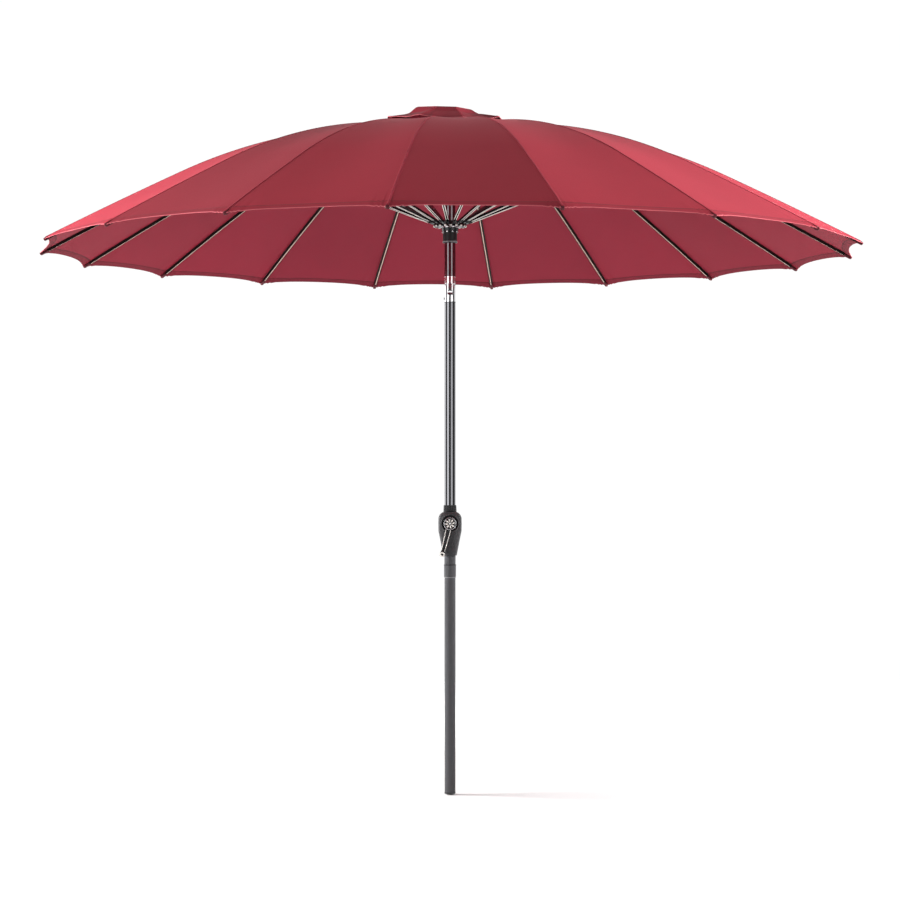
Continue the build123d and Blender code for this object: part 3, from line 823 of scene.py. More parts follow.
@dataclass
class Cover:
    """The main cover: a gore between each two ribs, and a felled seam along each rib."""

    line: RibLine
    lift: float = 0.00648
    cloth: float = 0.0006
    vent: float = 0.150
    hem: float = 1.3955
    scallop: float = 0.018
    flatter: dict[int, float] = field(default_factory=lambda: {12: 0.008, 13: 0.010, 14: 0.011, 15: 0.003})
    dip: float = 0.0055
    chord: float = 0.35  # distance between two ribs, for each metre of radius
    pucker: tuple[float, float, float] = (0.0005, 0.012, 0.037)  # height, reach from the seam, pitch
    crumple: tuple[float, float, float] = (0.0017, 0.060, 0.0125)  # height, reach from the tip, pitch
    wrap: tuple[float, float] = (0.0062, 0.0068)  # how far the corners reach out and down round the tips
    wrap_reach: tuple[float, float] = (0.060, 0.030)  # along the hem, and in from it
    ridge: tuple[float, float] = (0.0032, 0.0012)  # a seam's half width and its rise
    past: float = 0.0008  # how far a seam runs past the hem
    stitch: float = 0.0125
    pocket_reach: tuple[float, float] = (-0.024, 0.0058)
    pocket_loop: Point = (0.0056, 0.0054, 0.0026)  # half sides and corner
    hem_turn: Point = (0.0006, 0.027, 0.029)  # thickness that the turned hem adds, and where it ends
    vent_turn: Point = (0.0005, 0.011, 0.014)
    curve: tuple[float, float] = (1.08, 1.075)  # a gore's length a metre of radius, in its finish and cut
    rows: int = 110
    hem_rows: int = 12
    fine: float = 0.975  # the share of a gore's length where its rows draw together
    cols: int = 45
    folded: float = 0.3  # the share of its width that a gore keeps when the parasol is closed
    # painted light: each gore's colour is scaled lighter or darker to stand in for the light and shade that
    # fall on it
    painted_shades: tuple[float, ...] = (
        1.00, 0.95, 1.04, 0.98, 1.02, 0.96, 1.03, 0.99, 1.01,
        1.02, 1.18, 0.78, 1.06, 1.00, 1.16, 1.08, 1.08, 0.97,
    )

    def gore_points(self, i: int, u: np.ndarray, v: np.ndarray) -> np.ndarray:
        """Points of gore i.

        Each point lies on the straight line between the two ribs at one radius, and the radius at the hem
        is drawn in by scallop * sin(pi v). The height is the ribs' at that radius, less dip * sin(pi v)^1.2
        where the cloth is slack, plus small waves that die out from the seams and from the two tips. At the
        tips the corners are drawn out and down.

        Args:
            i: gore number; it runs from rib i to rib i + 1.
            u: 0 at the vent to 1 at the hem.
            v: 0 at rib i to 1 at rib i + 1.

        Returns:
            Points with the shape of u and v and three numbers each.
        """
        bow, long = np.sin(pi * v), self.hem - self.vent
        r = self.vent + long * u - (self.scallop - self.flatter.get(i, 0.0)) * bow * u**3
        a, _ = azimuth(self.line.angle(i))
        b, _ = azimuth(self.line.angle(i + 1))
        flat = (a * (1 - v)[..., None] + b * v[..., None]) * r[..., None]
        slack = self.dip * bow**1.2 * np.sin(0.76 * pi * np.clip(u, 0, 1)) ** 0.7
        side = np.minimum(v, 1 - v) * r * self.chord
        high, reach, pitch = self.pucker
        pucker = high * np.exp(-side / reach) * np.sin(r * tau / pitch + i) * np.sin(pi * v)
        high, reach, pitch = self.crumple
        far = np.hypot(side, (1 - u) * long * 0.9)
        crumple = high * np.exp(-((far / reach) ** 2)) * np.sin(side * tau / pitch + 5 * v)
        crumple *= np.sin(pi * np.clip(v * 8, 0, 0.5)) * np.sin(pi * np.clip((1 - v) * 8, 0, 0.5))
        along, inwards = self.wrap_reach
        corner = np.exp(-((side / along) ** 1.5)) * smooth(u * long, long - inwards, long)
        flat *= (1 + self.wrap[0] / self.hem * corner)[..., None]
        flat[..., 2] = self.line.height(r) + self.lift - slack + pucker + crumple - self.wrap[1] * corner
        return flat

    def gore(self, i: int) -> Object:
        """One gore as a thin closed sheet, thicker in its hem band and in its vent edge."""
        near = np.linspace(0, self.fine, self.rows - self.hem_rows, endpoint=False)
        u = np.concatenate([near, np.linspace(self.fine, 1, self.hem_rows)])
        v = np.linspace(0, 1, self.cols)
        u, v = np.meshgrid(u, v - 0.7 * np.sin(tau * v) / tau, indexing="ij")
        under = self.gore_points(i, u, v)
        width, length = row_lengths(under), (self.hem - self.vent) * self.curve[0]
        to_hem = (1 - u) * length
        extra = turn_in(to_hem, *self.hem_turn) + turn_in(u * length, *self.vent_turn)
        across, to_seam = (v - 0.5) * width, np.minimum(v, 1 - v) * width
        name = f"gore_{i + 1:02d}"
        return cloth_sheet(name, under, self.cloth + extra, to_hem, across, to_seam, self.painted_shades[i])

    def seam(self, i: int) -> Object:
        """The felled seam over rib i: a narrow round ridge, rippled by stitches, its feet on both gores."""
        half, rise = self.ridge
        across = np.linspace(-1, 1, 9) * half
        r = self.vent + (self.hem + self.past - self.vent) * np.linspace(0.0, 1.0, 180)
        out, round_ = azimuth(self.line.angle(i))
        fall = np.tan(pi / self.line.count) * np.tan(self.line.slope(r))
        base = out * r[:, None] + UP * (self.line.height(r) + self.lift + self.cloth)[:, None]
        drop = np.abs(across)[None, :] * fall[:, None]
        crown = rise * np.sqrt(1 - 0.96 * (across / half) ** 2)[None, :]
        ripple = 1 + 0.15 * np.sin(r[:, None] * tau / self.stitch + i)
        place = base[:, None] + round_ * across[None, :, None]
        top, bottom = place + UP * (crown * ripple - drop)[..., None], place - UP * (drop + 0.0003)[..., None]
        uv = np.stack(np.broadcast_arrays(r[:, None], across[None, :]), axis=2)
        made = sheet_solid(f"rib_seam_{i + 1:02d}", top, bottom, uv)
        label_sheet(made, seam_distance=np.broadcast_to(half - np.abs(across), drop.shape))
        return made

    def pocket(self, i: int) -> Object:
        """The webbing pocket that takes rib i's tip: a rounded sleeve round the rib's end, closed outside."""
        r = np.linspace(*(self.hem + reach for reach in self.pocket_reach), 16)
        mid, across, up = self.line.run(i, r)
        t = np.linspace(0, 1, len(r))
        grow = (1 + 0.05 * np.sin(pi * t)) * np.sqrt(np.clip(1 - ((t - 0.55) / 0.47) ** 8, 0.05, 1))
        loop = rounded_loop(*self.pocket_loop)
        skin = (across * loop[None, :, :1] + up[:, None] * loop[None, :, 1:]) * grow[:, None, None]
        made = capped_tube(f"tip_pocket_{i + 1:02d}", mid[:, None] + skin)
        flat = np.stack(np.broadcast_arrays(r[:, None], 0.002 * np.arange(len(loop))[None, :]), axis=2)
        add_uv(made, np.concatenate([flat.reshape(-1, 2), [[r[0], 0], [r[-1], 0]]]))
        return made

    def build(self, wardrobe: Wardrobe) -> None:
        """Makes every gore, seam and pocket, and ties each to its rib."""
        for i in range(self.line.count):
            body, joint = f"rib_{i + 1:02d}", f"rib_fold_{i + 1:02d}"
            gore = wardrobe.dress(self.gore(i), Stuff.COVER)
            wardrobe.line(gore, Stuff.LINING)
            seam = wardrobe.dress(self.seam(i), Stuff.TAPE)
            pocket = wardrobe.dress(self.pocket(i), Stuff.POCKET)
            for piece in (gore, seam, pocket):
                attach(piece, body)
            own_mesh(gore)
            if i == 0:
                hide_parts("canopy")


@dataclass
class VentCover:
    """The small raised cover: a round top on the crown's plate, and nine loose gores, each two ribs wide.

    The tuples with nine numbers have one for each of its seams or, for slack and the painted shades, for each
    gore.
    """

    line: RibLine
    count: int = 9
    top_z: float = 2.3512
    flats: tuple[float, ...] = (0.084, 0.084, 0.094, 0.106, 0.117, 0.118, 0.106, 0.092, 0.084)
    lifts: tuple[float, ...] = (-0.002, 0.0, 0.0, 0.003, 0.006, 0.0075, 0.001, 0.0, -0.002)
    rims: tuple[float, ...] = (0.208, 0.212, 0.218, 0.224, 0.230, 0.230, 0.225, 0.216, 0.208)
    drops: tuple[float, ...] = (0.036, 0.030, 0.034, 0.029, 0.033, 0.033, 0.044, 0.054, 0.038)
    slack: tuple[float, ...] = (0.004, 0.008, 0.003, 0.009, 0.005, 0.003, 0.008, 0.010, 0.006)
    # painted shade: each skirt gore's colour is scaled darker or lighter to stand in for the light and shade
    # on it
    painted_shades: tuple[float, ...] = (0.60, 0.85, 0.95, 0.85, 0.55, 0.64, 0.86, 0.66, 0.55)
    shoulders: tuple[float, ...] = (0.42, 0.42, 0.42, 0.42, 0.50, 0.42, 0.12, 0.12, 0.36)
    cloth: float = 0.0006
    fold: tuple[float, float] = (0.0016, 0.0022)  # height of the three broad folds, and of the sharp one
    seam_turn: Point = (0.0010, 0.003, 0.006)  # thickness that the turned edge adds, and where it ends
    hem_turn: Point = (0.0008, 0.011, 0.013)
    disc: Point = (0.0012, 0.0012, 0.72)  # the top's rise and thickness, and where it lifts to the sides
    length: tuple[float, float] = (1.04, 1.03)  # a gore's length a metre of radius, in its finish and cut
    top_share: float = 0.723  # a nine-sided top's area as a share of its square
    rows: int = 48
    cols: int = 41

    def between(self, values: tuple[float, ...], i: int, v: np.ndarray) -> np.ndarray:
        """A number that runs straight from vent rib i's to the next one's, at share v."""
        return values[i] * (1 - v) + values[(i + 1) % self.count] * v

    def side(self, radii: tuple[float, ...], i: int, v: np.ndarray) -> np.ndarray:
        """Level points a share v along the line from vent rib i to the next, at each rib's own radius."""
        a, _ = azimuth(self.line.angle(2 * i))
        b, _ = azimuth(self.line.angle(2 * i + 2))
        return a * (radii[i] * (1 - v))[..., None] + b * (radii[(i + 1) % self.count] * v)[..., None]

    def gore(self, i: int) -> Object:
        """One gore from the plate's edge to the rim.

        Its sides fall by their own drops * (k s(t) + (1 - k) t^1.1), where k is the rib's shoulder, t runs
        from 0 at the plate to 1 at the rim and s is a smooth step over its first third. Between them the
        cloth hangs lower by slack * sin(pi v)^0.8 * t^1.1, and has folds that run out from the plate's edge.
        """
        t, v = np.meshgrid(np.linspace(0, 1, self.rows), np.linspace(0, 1, self.cols), indexing="ij")
        bow, hang = np.sin(pi * v), t**1.1
        near, far = self.side(self.flats, i, v), self.side(self.rims, i, v)
        under = near + (far - near) * t[..., None]
        fold = self.fold[0] * np.sin(3 * pi * v + i) * bow * t**1.5
        fold += self.fold[1] * np.exp(-(((v - 0.16 - 0.10 * t) / 0.035) ** 2)) * t * (1 - 0.4 * t)
        shoulder = self.between(self.shoulders, i, v)
        fall = self.between(self.drops, i, v) * (shoulder * smooth(t, 0.0, 0.32) + (1 - shoulder) * hang)
        lift = self.between(self.lifts, i, v) * (1 - smooth(t, 0, 0.5))
        under[..., 2] = self.top_z + lift - fall - self.slack[i] * bow**0.8 * hang + fold
        width = row_lengths(under)
        across, to_seam = (v - 0.5) * width, np.minimum(v, 1 - v) * width
        to_hem = (1 - t) * (self.rims[i] - self.flats[i]) * self.length[0]
        extra = turn_in(to_seam, *self.seam_turn) + turn_in(to_hem, *self.hem_turn)
        name = f"vent_gore_{i + 1:02d}"
        return cloth_sheet(name, under, self.cloth + extra, to_hem, across, to_seam, self.painted_shades[i])

    def top(self) -> Object:
        """The round top over the plate: a slightly domed disc with one straight side for each gore."""
        share = np.linspace(0, 1.01, 14)
        along = np.linspace(0, 1, 12, endpoint=False)
        edge = np.concatenate([self.side(self.flats, i, along) for i in range(self.count)])
        lift = np.concatenate([self.between(self.lifts, i, along) for i in range(self.count)])
        under = share[:, None, None] * edge[None, :, :]
        rise, thick, lifted = self.disc
        dome_z = rise * (1 - share**2)[:, None]
        under[..., 2] = self.top_z + dome_z + lift * smooth(share, lifted, 1)[:, None]
        over = under + UP * (self.cloth + thick)
        pts = np.concatenate([under, over[::-1]])
        made = new_object("vent_top", pts.reshape(-1, 3), [grid_faces(len(pts), len(edge), wrap_cols=True)])
        weld(made)
        flat = np.empty(len(made.data.vertices) * 3, np.float32)
        made.data.vertices.foreach_get("co", flat)
        add_uv(made, flat.reshape(-1, 3)[:, :2])
        return outward(made)

    def build(self, wardrobe: Wardrobe) -> None:
        """Makes the top, on the crown's body, and the nine gores of the skirt."""
        top = wardrobe.dress(self.top(), Stuff.TAPE)
        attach(top, "upper")
        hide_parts("vent_cap")
        for i in range(self.count):
            gore = wardrobe.dress(self.gore(i), Stuff.COVER)
            wardrobe.line(gore, Stuff.LINING)
            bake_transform(gore)


@dataclass
class CrankHousing:
    """The two moulded halves round the pole, with their neck, boss and parting groove."""

    levels: tuple[float, ...] = (0.821, 0.826, 0.870, 0.905, 0.930, 0.951, 0.960, 0.9665, 0.970)
    half_wide: tuple[float, ...] = (0.0235, 0.0245, 0.0328, 0.0400, 0.0405, 0.0400, 0.0365, 0.0305, 0.0245)
    half_deep: tuple[float, ...] = (0.0218, 0.0228, 0.0268, 0.0306, 0.0310, 0.0306, 0.0286, 0.0255, 0.0228)
    shift_y: float = -0.005
    pole_r: float = 0.0192
    square: float = 2.8  # the power p of the shell's outline
    gap: float = 0.00035  # between each half's face and the parting plane
    steps: tuple[int, int] = (81, 73)
    crowd: float = 0.06  # how far the rows draw together at both ends
    edge: tuple[float, int, float] = (0.0006, 2, radians(50))  # bevel's width, segments and least angle
    neck_z: tuple[float, ...] = (0.9685, 0.9690, 0.9860, 0.9925, 0.9940, 0.9940, 0.9685)
    neck_r: tuple[float, ...] = (0.0225, 0.0229, 0.0222, 0.0218, 0.0210, 0.0193, 0.0193)
    neck_cut: tuple[float, ...] = (0, 0, 0.0013, 0.0013, 0.0008, 0, 0)
    flutes: int = 12
    flute_edge: tuple[float, float] = (0.30, 0.38)
    boss_y: tuple[float, ...] = (0.0340, 0.0400, 0.0408, 0.0410, 0.0408, 0.0400, 0.0365, 0.0358, 0.0340)
    boss_r: tuple[float, ...] = (0.0318, 0.0310, 0.0304, 0.0290, 0.0277, 0.0271, 0.0268, 0.0230, 0.0230)
    shaft_z: float = 0.932

    def outline(self, z: np.ndarray, a: np.ndarray) -> np.ndarray:
        """The shell at height z, angle a: |x/w|^p + |y/d|^p = 1, its half sides w and d from the levels."""
        w, d = (np.interp(z, self.levels, half) for half in (self.half_wide, self.half_deep))
        c, s = np.cos(a), np.sin(a)
        scale = (np.abs(c / w) ** self.square + np.abs(s / d) ** self.square) ** (-1 / self.square)
        return np.stack([c * scale, s * scale + self.shift_y, z], axis=-1)

    def half(self, name: str, front: bool) -> Object:
        """One half: the outer shell, level ends and a flat parting face with the pole's half bore."""
        a = np.linspace(-pi, 0, self.steps[1]) if front else np.linspace(0, pi, self.steps[1])
        t = np.linspace(0, 1, self.steps[0])
        z = self.levels[0] + (self.levels[-1] - self.levels[0]) * (t - self.crowd * np.sin(tau * t) / tau)
        z, a = np.meshgrid(z, a, indexing="ij")
        shell = self.outline(z, a)
        bore = np.stack([self.pole_r * np.cos(a), self.pole_r * np.sin(a), z], axis=-1)
        side = -1.0 if front else 1.0
        for part in (shell, bore):
            part[..., 1] = np.where(np.abs(np.sin(a)) < 1e-6, side * self.gap, part[..., 1])
            part[..., 1] = side * np.maximum(side * part[..., 1], self.gap)
        ring = np.concatenate([shell, bore[:, ::-1]], axis=1)
        rows, cols = ring.shape[:2]
        faces = [grid_faces(rows, cols, wrap_cols=True)]
        j = np.arange(shell.shape[1] - 1)
        for row, turn in ((0, 1), (rows - 1, -1)):
            quad = row * cols + np.stack([j, j + 1, cols - 2 - j, cols - 1 - j], axis=1)
            faces.append(quad[:, ::turn])
        made = new_object(name, ring.reshape(-1, 3), faces)
        with editing(made) as bm:
            bmesh.ops.recalc_face_normals(bm, faces=bm.faces)
        bevel = outward(made).modifiers.new("soft edges", "BEVEL")
        bevel.width, bevel.segments, bevel.angle_limit = self.edge
        bevel.limit_method = "ANGLE"
        bevel.harden_normals = True
        return made

    def neck(self) -> Object:
        """The neck collar: a ring whose outer wall is cut by shallow flutes."""
        a = np.linspace(0, tau, 240, endpoint=False)
        flute = smooth(np.abs(((a * self.flutes / tau) % 1) - 0.5), *self.flute_edge)
        z, r, cut = (np.array(values)[:, None] for values in (self.neck_z, self.neck_r, self.neck_cut))
        r = r - cut * (1 - flute)[None, :]
        pts = np.stack(np.broadcast_arrays(r * np.cos(a), r * np.sin(a), z), axis=2)
        faces = grid_faces(len(z), len(a), wrap_rows=True, wrap_cols=True)
        return outward(new_object("housing_neck", pts.reshape(-1, 3), [faces]))

    def boss(self) -> Object:
        """The raised ring round the crank's hub, with rounded lips."""
        outline = np.stack([self.boss_r, self.boss_y], axis=1)
        return turned("housing_boss", outline, (0, 0, self.shaft_z), axis=Axis.FORWARD, segments=128)

    def build(self, wardrobe: Wardrobe) -> None:
        """Makes the halves, neck and boss, and hides the plain halves."""
        for side in ("front", "back"):
            half = wardrobe.dress(self.half(f"housing_shell_{side}", side == "front"), Stuff.HOUSING)
            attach(half, "mast")
            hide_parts(f"crank_housing_{side}")
        for piece, stuff in ((self.neck(), Stuff.TRIM), (self.boss(), Stuff.HOUSING)):
            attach(wardrobe.dress(piece, stuff), "mast")


@dataclass
class CrankTrim:
    """The bright work on the crank: painted highlights along the arm's edges, the dial's ring and petals, the
    knob's face.
    """

    centre_z: float = 0.932
    lean: float = radians(104.3)
    reach: float = 0.1075
    face_y: float = -0.050
    arm_highlight_from: tuple[float, float] = (0.0225, 0.0078)  # along the arm, and off its middle
    arm_highlight_to: tuple[float, float] = (0.0975, 0.0056)
    arm_highlight_half: tuple[float, float] = (0.0012, 0.0007)
    dial_y: float = -0.0531
    ring_r: float = 0.0200
    ring_half: tuple[float, float] = (0.0017, 0.0010)
    petals: int = 8
    petal_r: tuple[float, float] = (0.0046, 0.0158)
    petal_half: float = radians(15.5)
    petal_y: Point = (0.0004, 0.0005, 0.0011)  # how far it is sunk, its edge's thickness and its dome's rise
    cap: tuple[float, float] = (0.0040, 0.0018)
    hole: float = 0.0050
    knob_y: float = -0.0860

    def place(self, points: np.ndarray) -> np.ndarray:
        """Points of the crank's frame, X along the arm, turned about Y by its lean and put at the shaft."""
        x, y, z = points[..., 0], points[..., 1], points[..., 2]
        c, s = cos(self.lean), sin(self.lean)
        return np.stack([x * c + z * s, y, -x * s + z * c + self.centre_z], axis=-1)

    def arm_edge_highlights(self) -> Object:
        """Painted highlights: two straight rounded pale strips along the arm's long edges, nearer together at
        the knob.
        """
        made = []
        for way in (-1, 1):
            start, end = (np.array([x, self.face_y, way * z]) for x, z in (self.arm_highlight_from, self.arm_highlight_to))
            path = self.place(start + (end - start) * np.linspace(0, 1, 10)[:, None])
            along = path[-1] - path[0]
            side = np.cross(along / np.linalg.norm(along), [0, 1, 0])
            strip = rounded_loop(*self.arm_highlight_half, 0.0005, 4)
            made.append(swept("crank_arm_rails", path, side, np.array([0.0, -1.0, 0.0]), strip))
        return joined(made)

    def dial_ring(self) -> Object:
        """The dial's round-topped outer ring."""
        loop = rounded_loop(*self.ring_half, 0.0009, 6) + [self.ring_r, -self.dial_y]
        return turned("crank_dial_ring", loop, (0, 0, self.centre_z), axis=Axis.FORWARD, segments=96)

    def petal(self, k: int) -> Object:
        """One domed petal: a wedge between two radii that rises by (sin(pi s) * sin(pi t))^0.5."""
        s, t = np.meshgrid(np.linspace(0, 1, 10), np.linspace(0, 1, 12), indexing="ij")
        wide = self.petal_half * (0.55 + 0.45 * np.sin(pi * np.clip(t, 0.1, 0.9)))
        turn = (k + 0.5) * tau / self.petals + (2 * s - 1) * wide
        r = self.petal_r[0] + (self.petal_r[1] - self.petal_r[0]) * t
        sunk, thick, rise = self.petal_y
        tall = thick + rise * (np.sin(pi * s) * np.sin(pi * t)) ** 0.5
        flat = np.stack([r * np.cos(turn), np.full_like(r, self.dial_y + sunk), r * np.sin(turn)], axis=-1)
        top = flat - np.stack([0 * r, tall, 0 * r], axis=-1)
        return outward(sheet_solid(f"crank_dial_petal_{k + 1}", self.place(top), self.place(flat)))

    def dial_cap(self) -> Object:
        """The small dome in the dial's middle: an outline (r cos t, h sin t) turned round the shaft."""
        outline = dome(*self.cap, 8, 0.0004) + [0, -self.dial_y]
        return turned("crank_dial_cap", outline, (0, 0, self.centre_z), axis=Axis.FORWARD, segments=48)

    def knob_face(self) -> Object:
        """The knob's end plate: round outside, with a lozenge opening |x| + |z| = h."""
        a = np.linspace(0, tau, 96, endpoint=False)
        hole = self.hole / (np.abs(np.cos(a)) + np.abs(np.sin(a)))
        loops = [(0.0086, 0.0006), (0.0086, -0.0002), (0.0081, -0.0007), (None, -0.0007), (None, 0.0006)]
        rings = []
        for r, y in loops:
            radius = hole if r is None else np.full_like(a, r)
            x, z = radius * np.cos(a) + self.reach, radius * np.sin(a)
            rings.append(np.stack([x, np.full_like(a, self.knob_y + y), z], axis=-1))
        faces = grid_faces(len(rings), len(a), wrap_rows=True, wrap_cols=True)
        return outward(new_object("crank_knob_face", self.place(np.stack(rings)).reshape(-1, 3), [faces]))

    def build(self, wardrobe: Wardrobe) -> None:
        """Makes the bright work; all of it turns with the crank, and the knob's face with the knob."""
        petals = joined([self.petal(k) for k in range(self.petals)])
        pieces = (self.arm_edge_highlights(), self.dial_ring(), petals, self.dial_cap())
        for piece, stuff in zip(pieces, (Stuff.LIP, Stuff.CHROME, Stuff.LIP, Stuff.CHROME)):
            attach(wardrobe.dress(piece, stuff), "crank")
        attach(wardrobe.dress(self.knob_face(), Stuff.LIP), "crank_grip")


@dataclass(frozen=True)
class Ring:
    """A ring round the pole's axis, between two radii and two heights, on one body."""

    name: str
    body: str
    radii: tuple[float, float]
    heights: tuple[float, float]
    stuff: Stuff

    def make(self) -> Object:
        """The ring with rounded edges, its outline turned round the pole."""
        (inner, outer), (low, high) = self.radii, self.heights
        loop = rounded_loop((outer - inner) / 2, (high - low) / 2, min(outer - inner, high - low) * 0.35)
        return turned(self.name, loop + [(inner + outer) / 2, (low + high) / 2], segments=128)


@dataclass(frozen=True)
class Rivet:
    """A domed rivet head on an upright round wall: the wall's radius, its place there, its own size."""

    name: str
    body: str
    wall: float
    height: float
    turn: float
    r: float
    rise: float

    def make(self, number: int) -> Object:
        """The dome turned round its own axis, then laid on the wall."""
        out, _ = azimuth(self.turn)
        made = turned(f"{self.name}_{number:02d}", dome(self.r, self.rise, 9, 0.0008), segments=24)
        place = Vector(UP).rotation_difference(Vector(out)).to_matrix().to_4x4()
        place.translation = (*(out * self.wall)[:2], self.height)
        made.data.transform(place)
        return made


@dataclass
class Fittings:
    """Rings and rivets that sit on the frame's turned parts."""

    rings: tuple[Ring, ...] = (
        Ring("coupler_lip_low", "lower", (0.0195, 0.0212), (0.7440, 0.7465), Stuff.GREY),
        Ring("coupler_lip_high", "lower", (0.0200, 0.0212), (0.7865, 0.7892), Stuff.TRIM),
        Ring("housing_foot_sleeve", "mast", (0.01905, 0.0195), (0.7897, 0.8208), Stuff.POLE_MATT),
        Ring("pole_cut_edge", "lower", (0.0175, 0.0192), (0.0000, 0.0045), Stuff.CUT),
        Ring("tilt_rim", "mast", (0.0189, 0.0195), (1.6925, 1.6950), Stuff.TRIM),
        Ring("tilt_rim_top", "upper", (0.0189, 0.0194), (1.7795, 1.7820), Stuff.CHROME),
        Ring("runner_foot_trim", "runner", (0.0246, 0.0258), (1.8995, 1.9035), Stuff.GREY),
        Ring("runner_neck_trim", "runner", (0.0303, 0.0318), (1.9505, 1.9528), Stuff.CHROME),
    )
    rivets: tuple[Rivet, ...] = (
        *(
            Rivet("runner_rivet", "runner", 0.0275, 1.9365, radians(248.3 + 40 * k), 0.0027, 0.0012)
            for k in range(9)
        ),
        *(Rivet("tilt_rivet", "mast", 0.0190, z, radians(180), 0.0026, 0.0008) for z in (1.7225, 1.7290)),
    )

    def build(self, wardrobe: Wardrobe) -> None:
        """Makes every ring and rivet and puts each on its body."""
        for ring in self.rings:
            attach(wardrobe.dress(ring.make(), ring.stuff), ring.body)
        for k, rivet in enumerate(self.rivets):
            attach(wardrobe.dress(rivet.make(k + 1), Stuff.CHROME), rivet.body)


@dataclass
class RibWork:
    """Painted light on the frame: a pale painted highlight in each rib's channel, a dark strip of painted
    shade under the cloth beside it, and pale painted highlights along the lips of each strut's channel and of
    the runner.
    """

    line: RibLine
    rib_highlight_from: float = 0.078
    rib_highlight_to: float = 1.372
    rib_highlight_half: tuple[float, float] = (0.0016, 0.0011)
    rib_highlight_drop: float = 0.0034
    shadow_strip_half: tuple[float, float] = (0.0070, 0.0004)
    shadow_strip_rise: float = 0.0052
    shadow_strip_skip: int = 10
    pivot: tuple[float, float] = (0.050, 1.963)
    joint: tuple[float, float] = (0.648998, 2.195359)
    strut_highlight_half: tuple[float, float] = (0.0011, 0.0008)
    strut_highlight_across: float = 0.0036
    strut_highlight_drop: float = 0.0043
    strut_highlight_ends: tuple[float, float] = (0.030, 0.028)  # how far the painted highlights stop short of pivot and joint
    flange: tuple[float, float] = (0.0553, 1.9548)
    flange_arc: float = 3.9  # half of each arc, in degrees
    flange_half: tuple[float, float] = (0.0025, 0.0023)

    def painted_rib_light(self, i: int) -> tuple[Object, Object]:
        """Two flat strips along the rib's curve: a pale painted highlight in its mouth, and a dark strip of
        painted shade under the cloth.
        """
        middle, across, up = self.line.run(i, np.linspace(self.rib_highlight_from, self.rib_highlight_to, 90))
        path = middle - up * self.rib_highlight_drop
        painted_rib_light = swept(f"rib_core_{i + 1:02d}", path, across, up, rounded_loop(*self.rib_highlight_half, 0.0008, 4))
        # painted shade: a dark strip under the cloth along the rib
        skip = self.shadow_strip_skip
        higher = path[skip:] + up[skip:] * (self.rib_highlight_drop + self.shadow_strip_rise)
        tape = rounded_loop(*self.shadow_strip_half, 0.0003, 3)
        return painted_rib_light, swept(f"rib_backing_{i + 1:02d}", higher, across, up[skip:], tape)

    def strut_highlights(self, i: int) -> Object:
        """Two painted highlights: pale beads along the strut's lower edges, straight from near the runner to
        near the rib's lug.
        """
        out, round_ = azimuth(self.line.angle(i))
        start, end = (out * r + UP * z for r, z in (self.pivot, self.joint))
        along = (end - start) / np.linalg.norm(end - start)
        up = np.cross(along, round_)
        up *= np.sign(up[2])
        near, far = start + along * self.strut_highlight_ends[0], end - along * self.strut_highlight_ends[1]
        line = near + (far - near) * np.linspace(0, 1, 12)[:, None]
        beads, bead = [], rounded_loop(*self.strut_highlight_half, 0.0006, 4)
        for way in (-1, 1):
            path = line + round_ * way * self.strut_highlight_across - up * self.strut_highlight_drop
            beads.append(swept(f"strut_lips_{i + 1:02d}", path, round_, up, bead))
        return joined(beads)

    def runner_lip(self) -> Object:
        """A painted highlight on the lower edge of the runner's flange: one short pale arc between each two
        slots.
        """
        arcs, bead = [], rounded_loop(*self.flange_half, 0.0014, 4)
        swing = np.radians(np.linspace(-self.flange_arc, self.flange_arc, 12))
        for i in range(self.line.count):
            out, _ = azimuth(self.line.angle(i + 0.5) + swing)
            arcs.append(swept("runner_lip", out * self.flange[0] + UP * self.flange[1], out, UP, bead))
        return joined(arcs)

    def build(self, wardrobe: Wardrobe) -> None:
        """Makes each rib's painted highlight and shade strip, each strut's painted highlights and the
        runner's.
        """
        for i in range(self.line.count):
            painted_rib_light, tape = self.painted_rib_light(i)
            # tape is the dark strip of painted shade beside the rib; the pale strips are painted highlights
            pieces = (painted_rib_light, "rib", Stuff.CORE), (tape, "rib", Stuff.RIB), (self.strut_highlights(i), "strut", Stuff.LIP)
            for piece, kind, stuff in pieces:
                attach(wardrobe.dress(piece, stuff), f"{kind}_{i + 1:02d}")
        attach(wardrobe.dress(self.runner_lip(), Stuff.LIP), "runner")


NODES: dict[Stuff, tuple[str, ...]] = {
    Stuff.POLE_MATT: ("lower_pole", "pole_coupler"),
    Stuff.POLE_GLOSS: ("middle_pole", "top_pole"),
    Stuff.CUT: ("pole_end_plug",),
    Stuff.HOUSING: ("crank_housing_front", "crank_housing_back"),
    Stuff.CAST: ("winding_drum", "tilt_lower_jaw", "tilt_upper_jaw"),
    Stuff.CHROME: ("housing_screws", "tilt_pivot_pin", "crown_wire"),
    Stuff.CRANK: ("crank_arm",),
    Stuff.TRIM: (
        "crank_dial", "crank_knob", "tilt_button", "cord_pulley", "runner_collar", "crown_hub", "crown_cap",
    ),
    Stuff.HUB: ("runner_hub",),
    Stuff.COVER: ("canopy", "vent_cap"),
}


def dress_nodes(frame: dict, wardrobe: Wardrobe) -> None:
    """Gives every node of the frame its finish; the ones not listed are ribs and struts."""
    finish = {name: stuff for stuff, names in NODES.items() for name in names}
    for name, node in frame["nodes"].items():
        wardrobe.dress(node, finish.get(name) or (Stuff.RIB if name.startswith("rib") else Stuff.STRUT))


class Lights(Enum):
    """What a lamp lights: matt faces only, glossy ones only, or both."""

    MATT = "matt"
    GLOSS = "gloss"
    BOTH = "both"


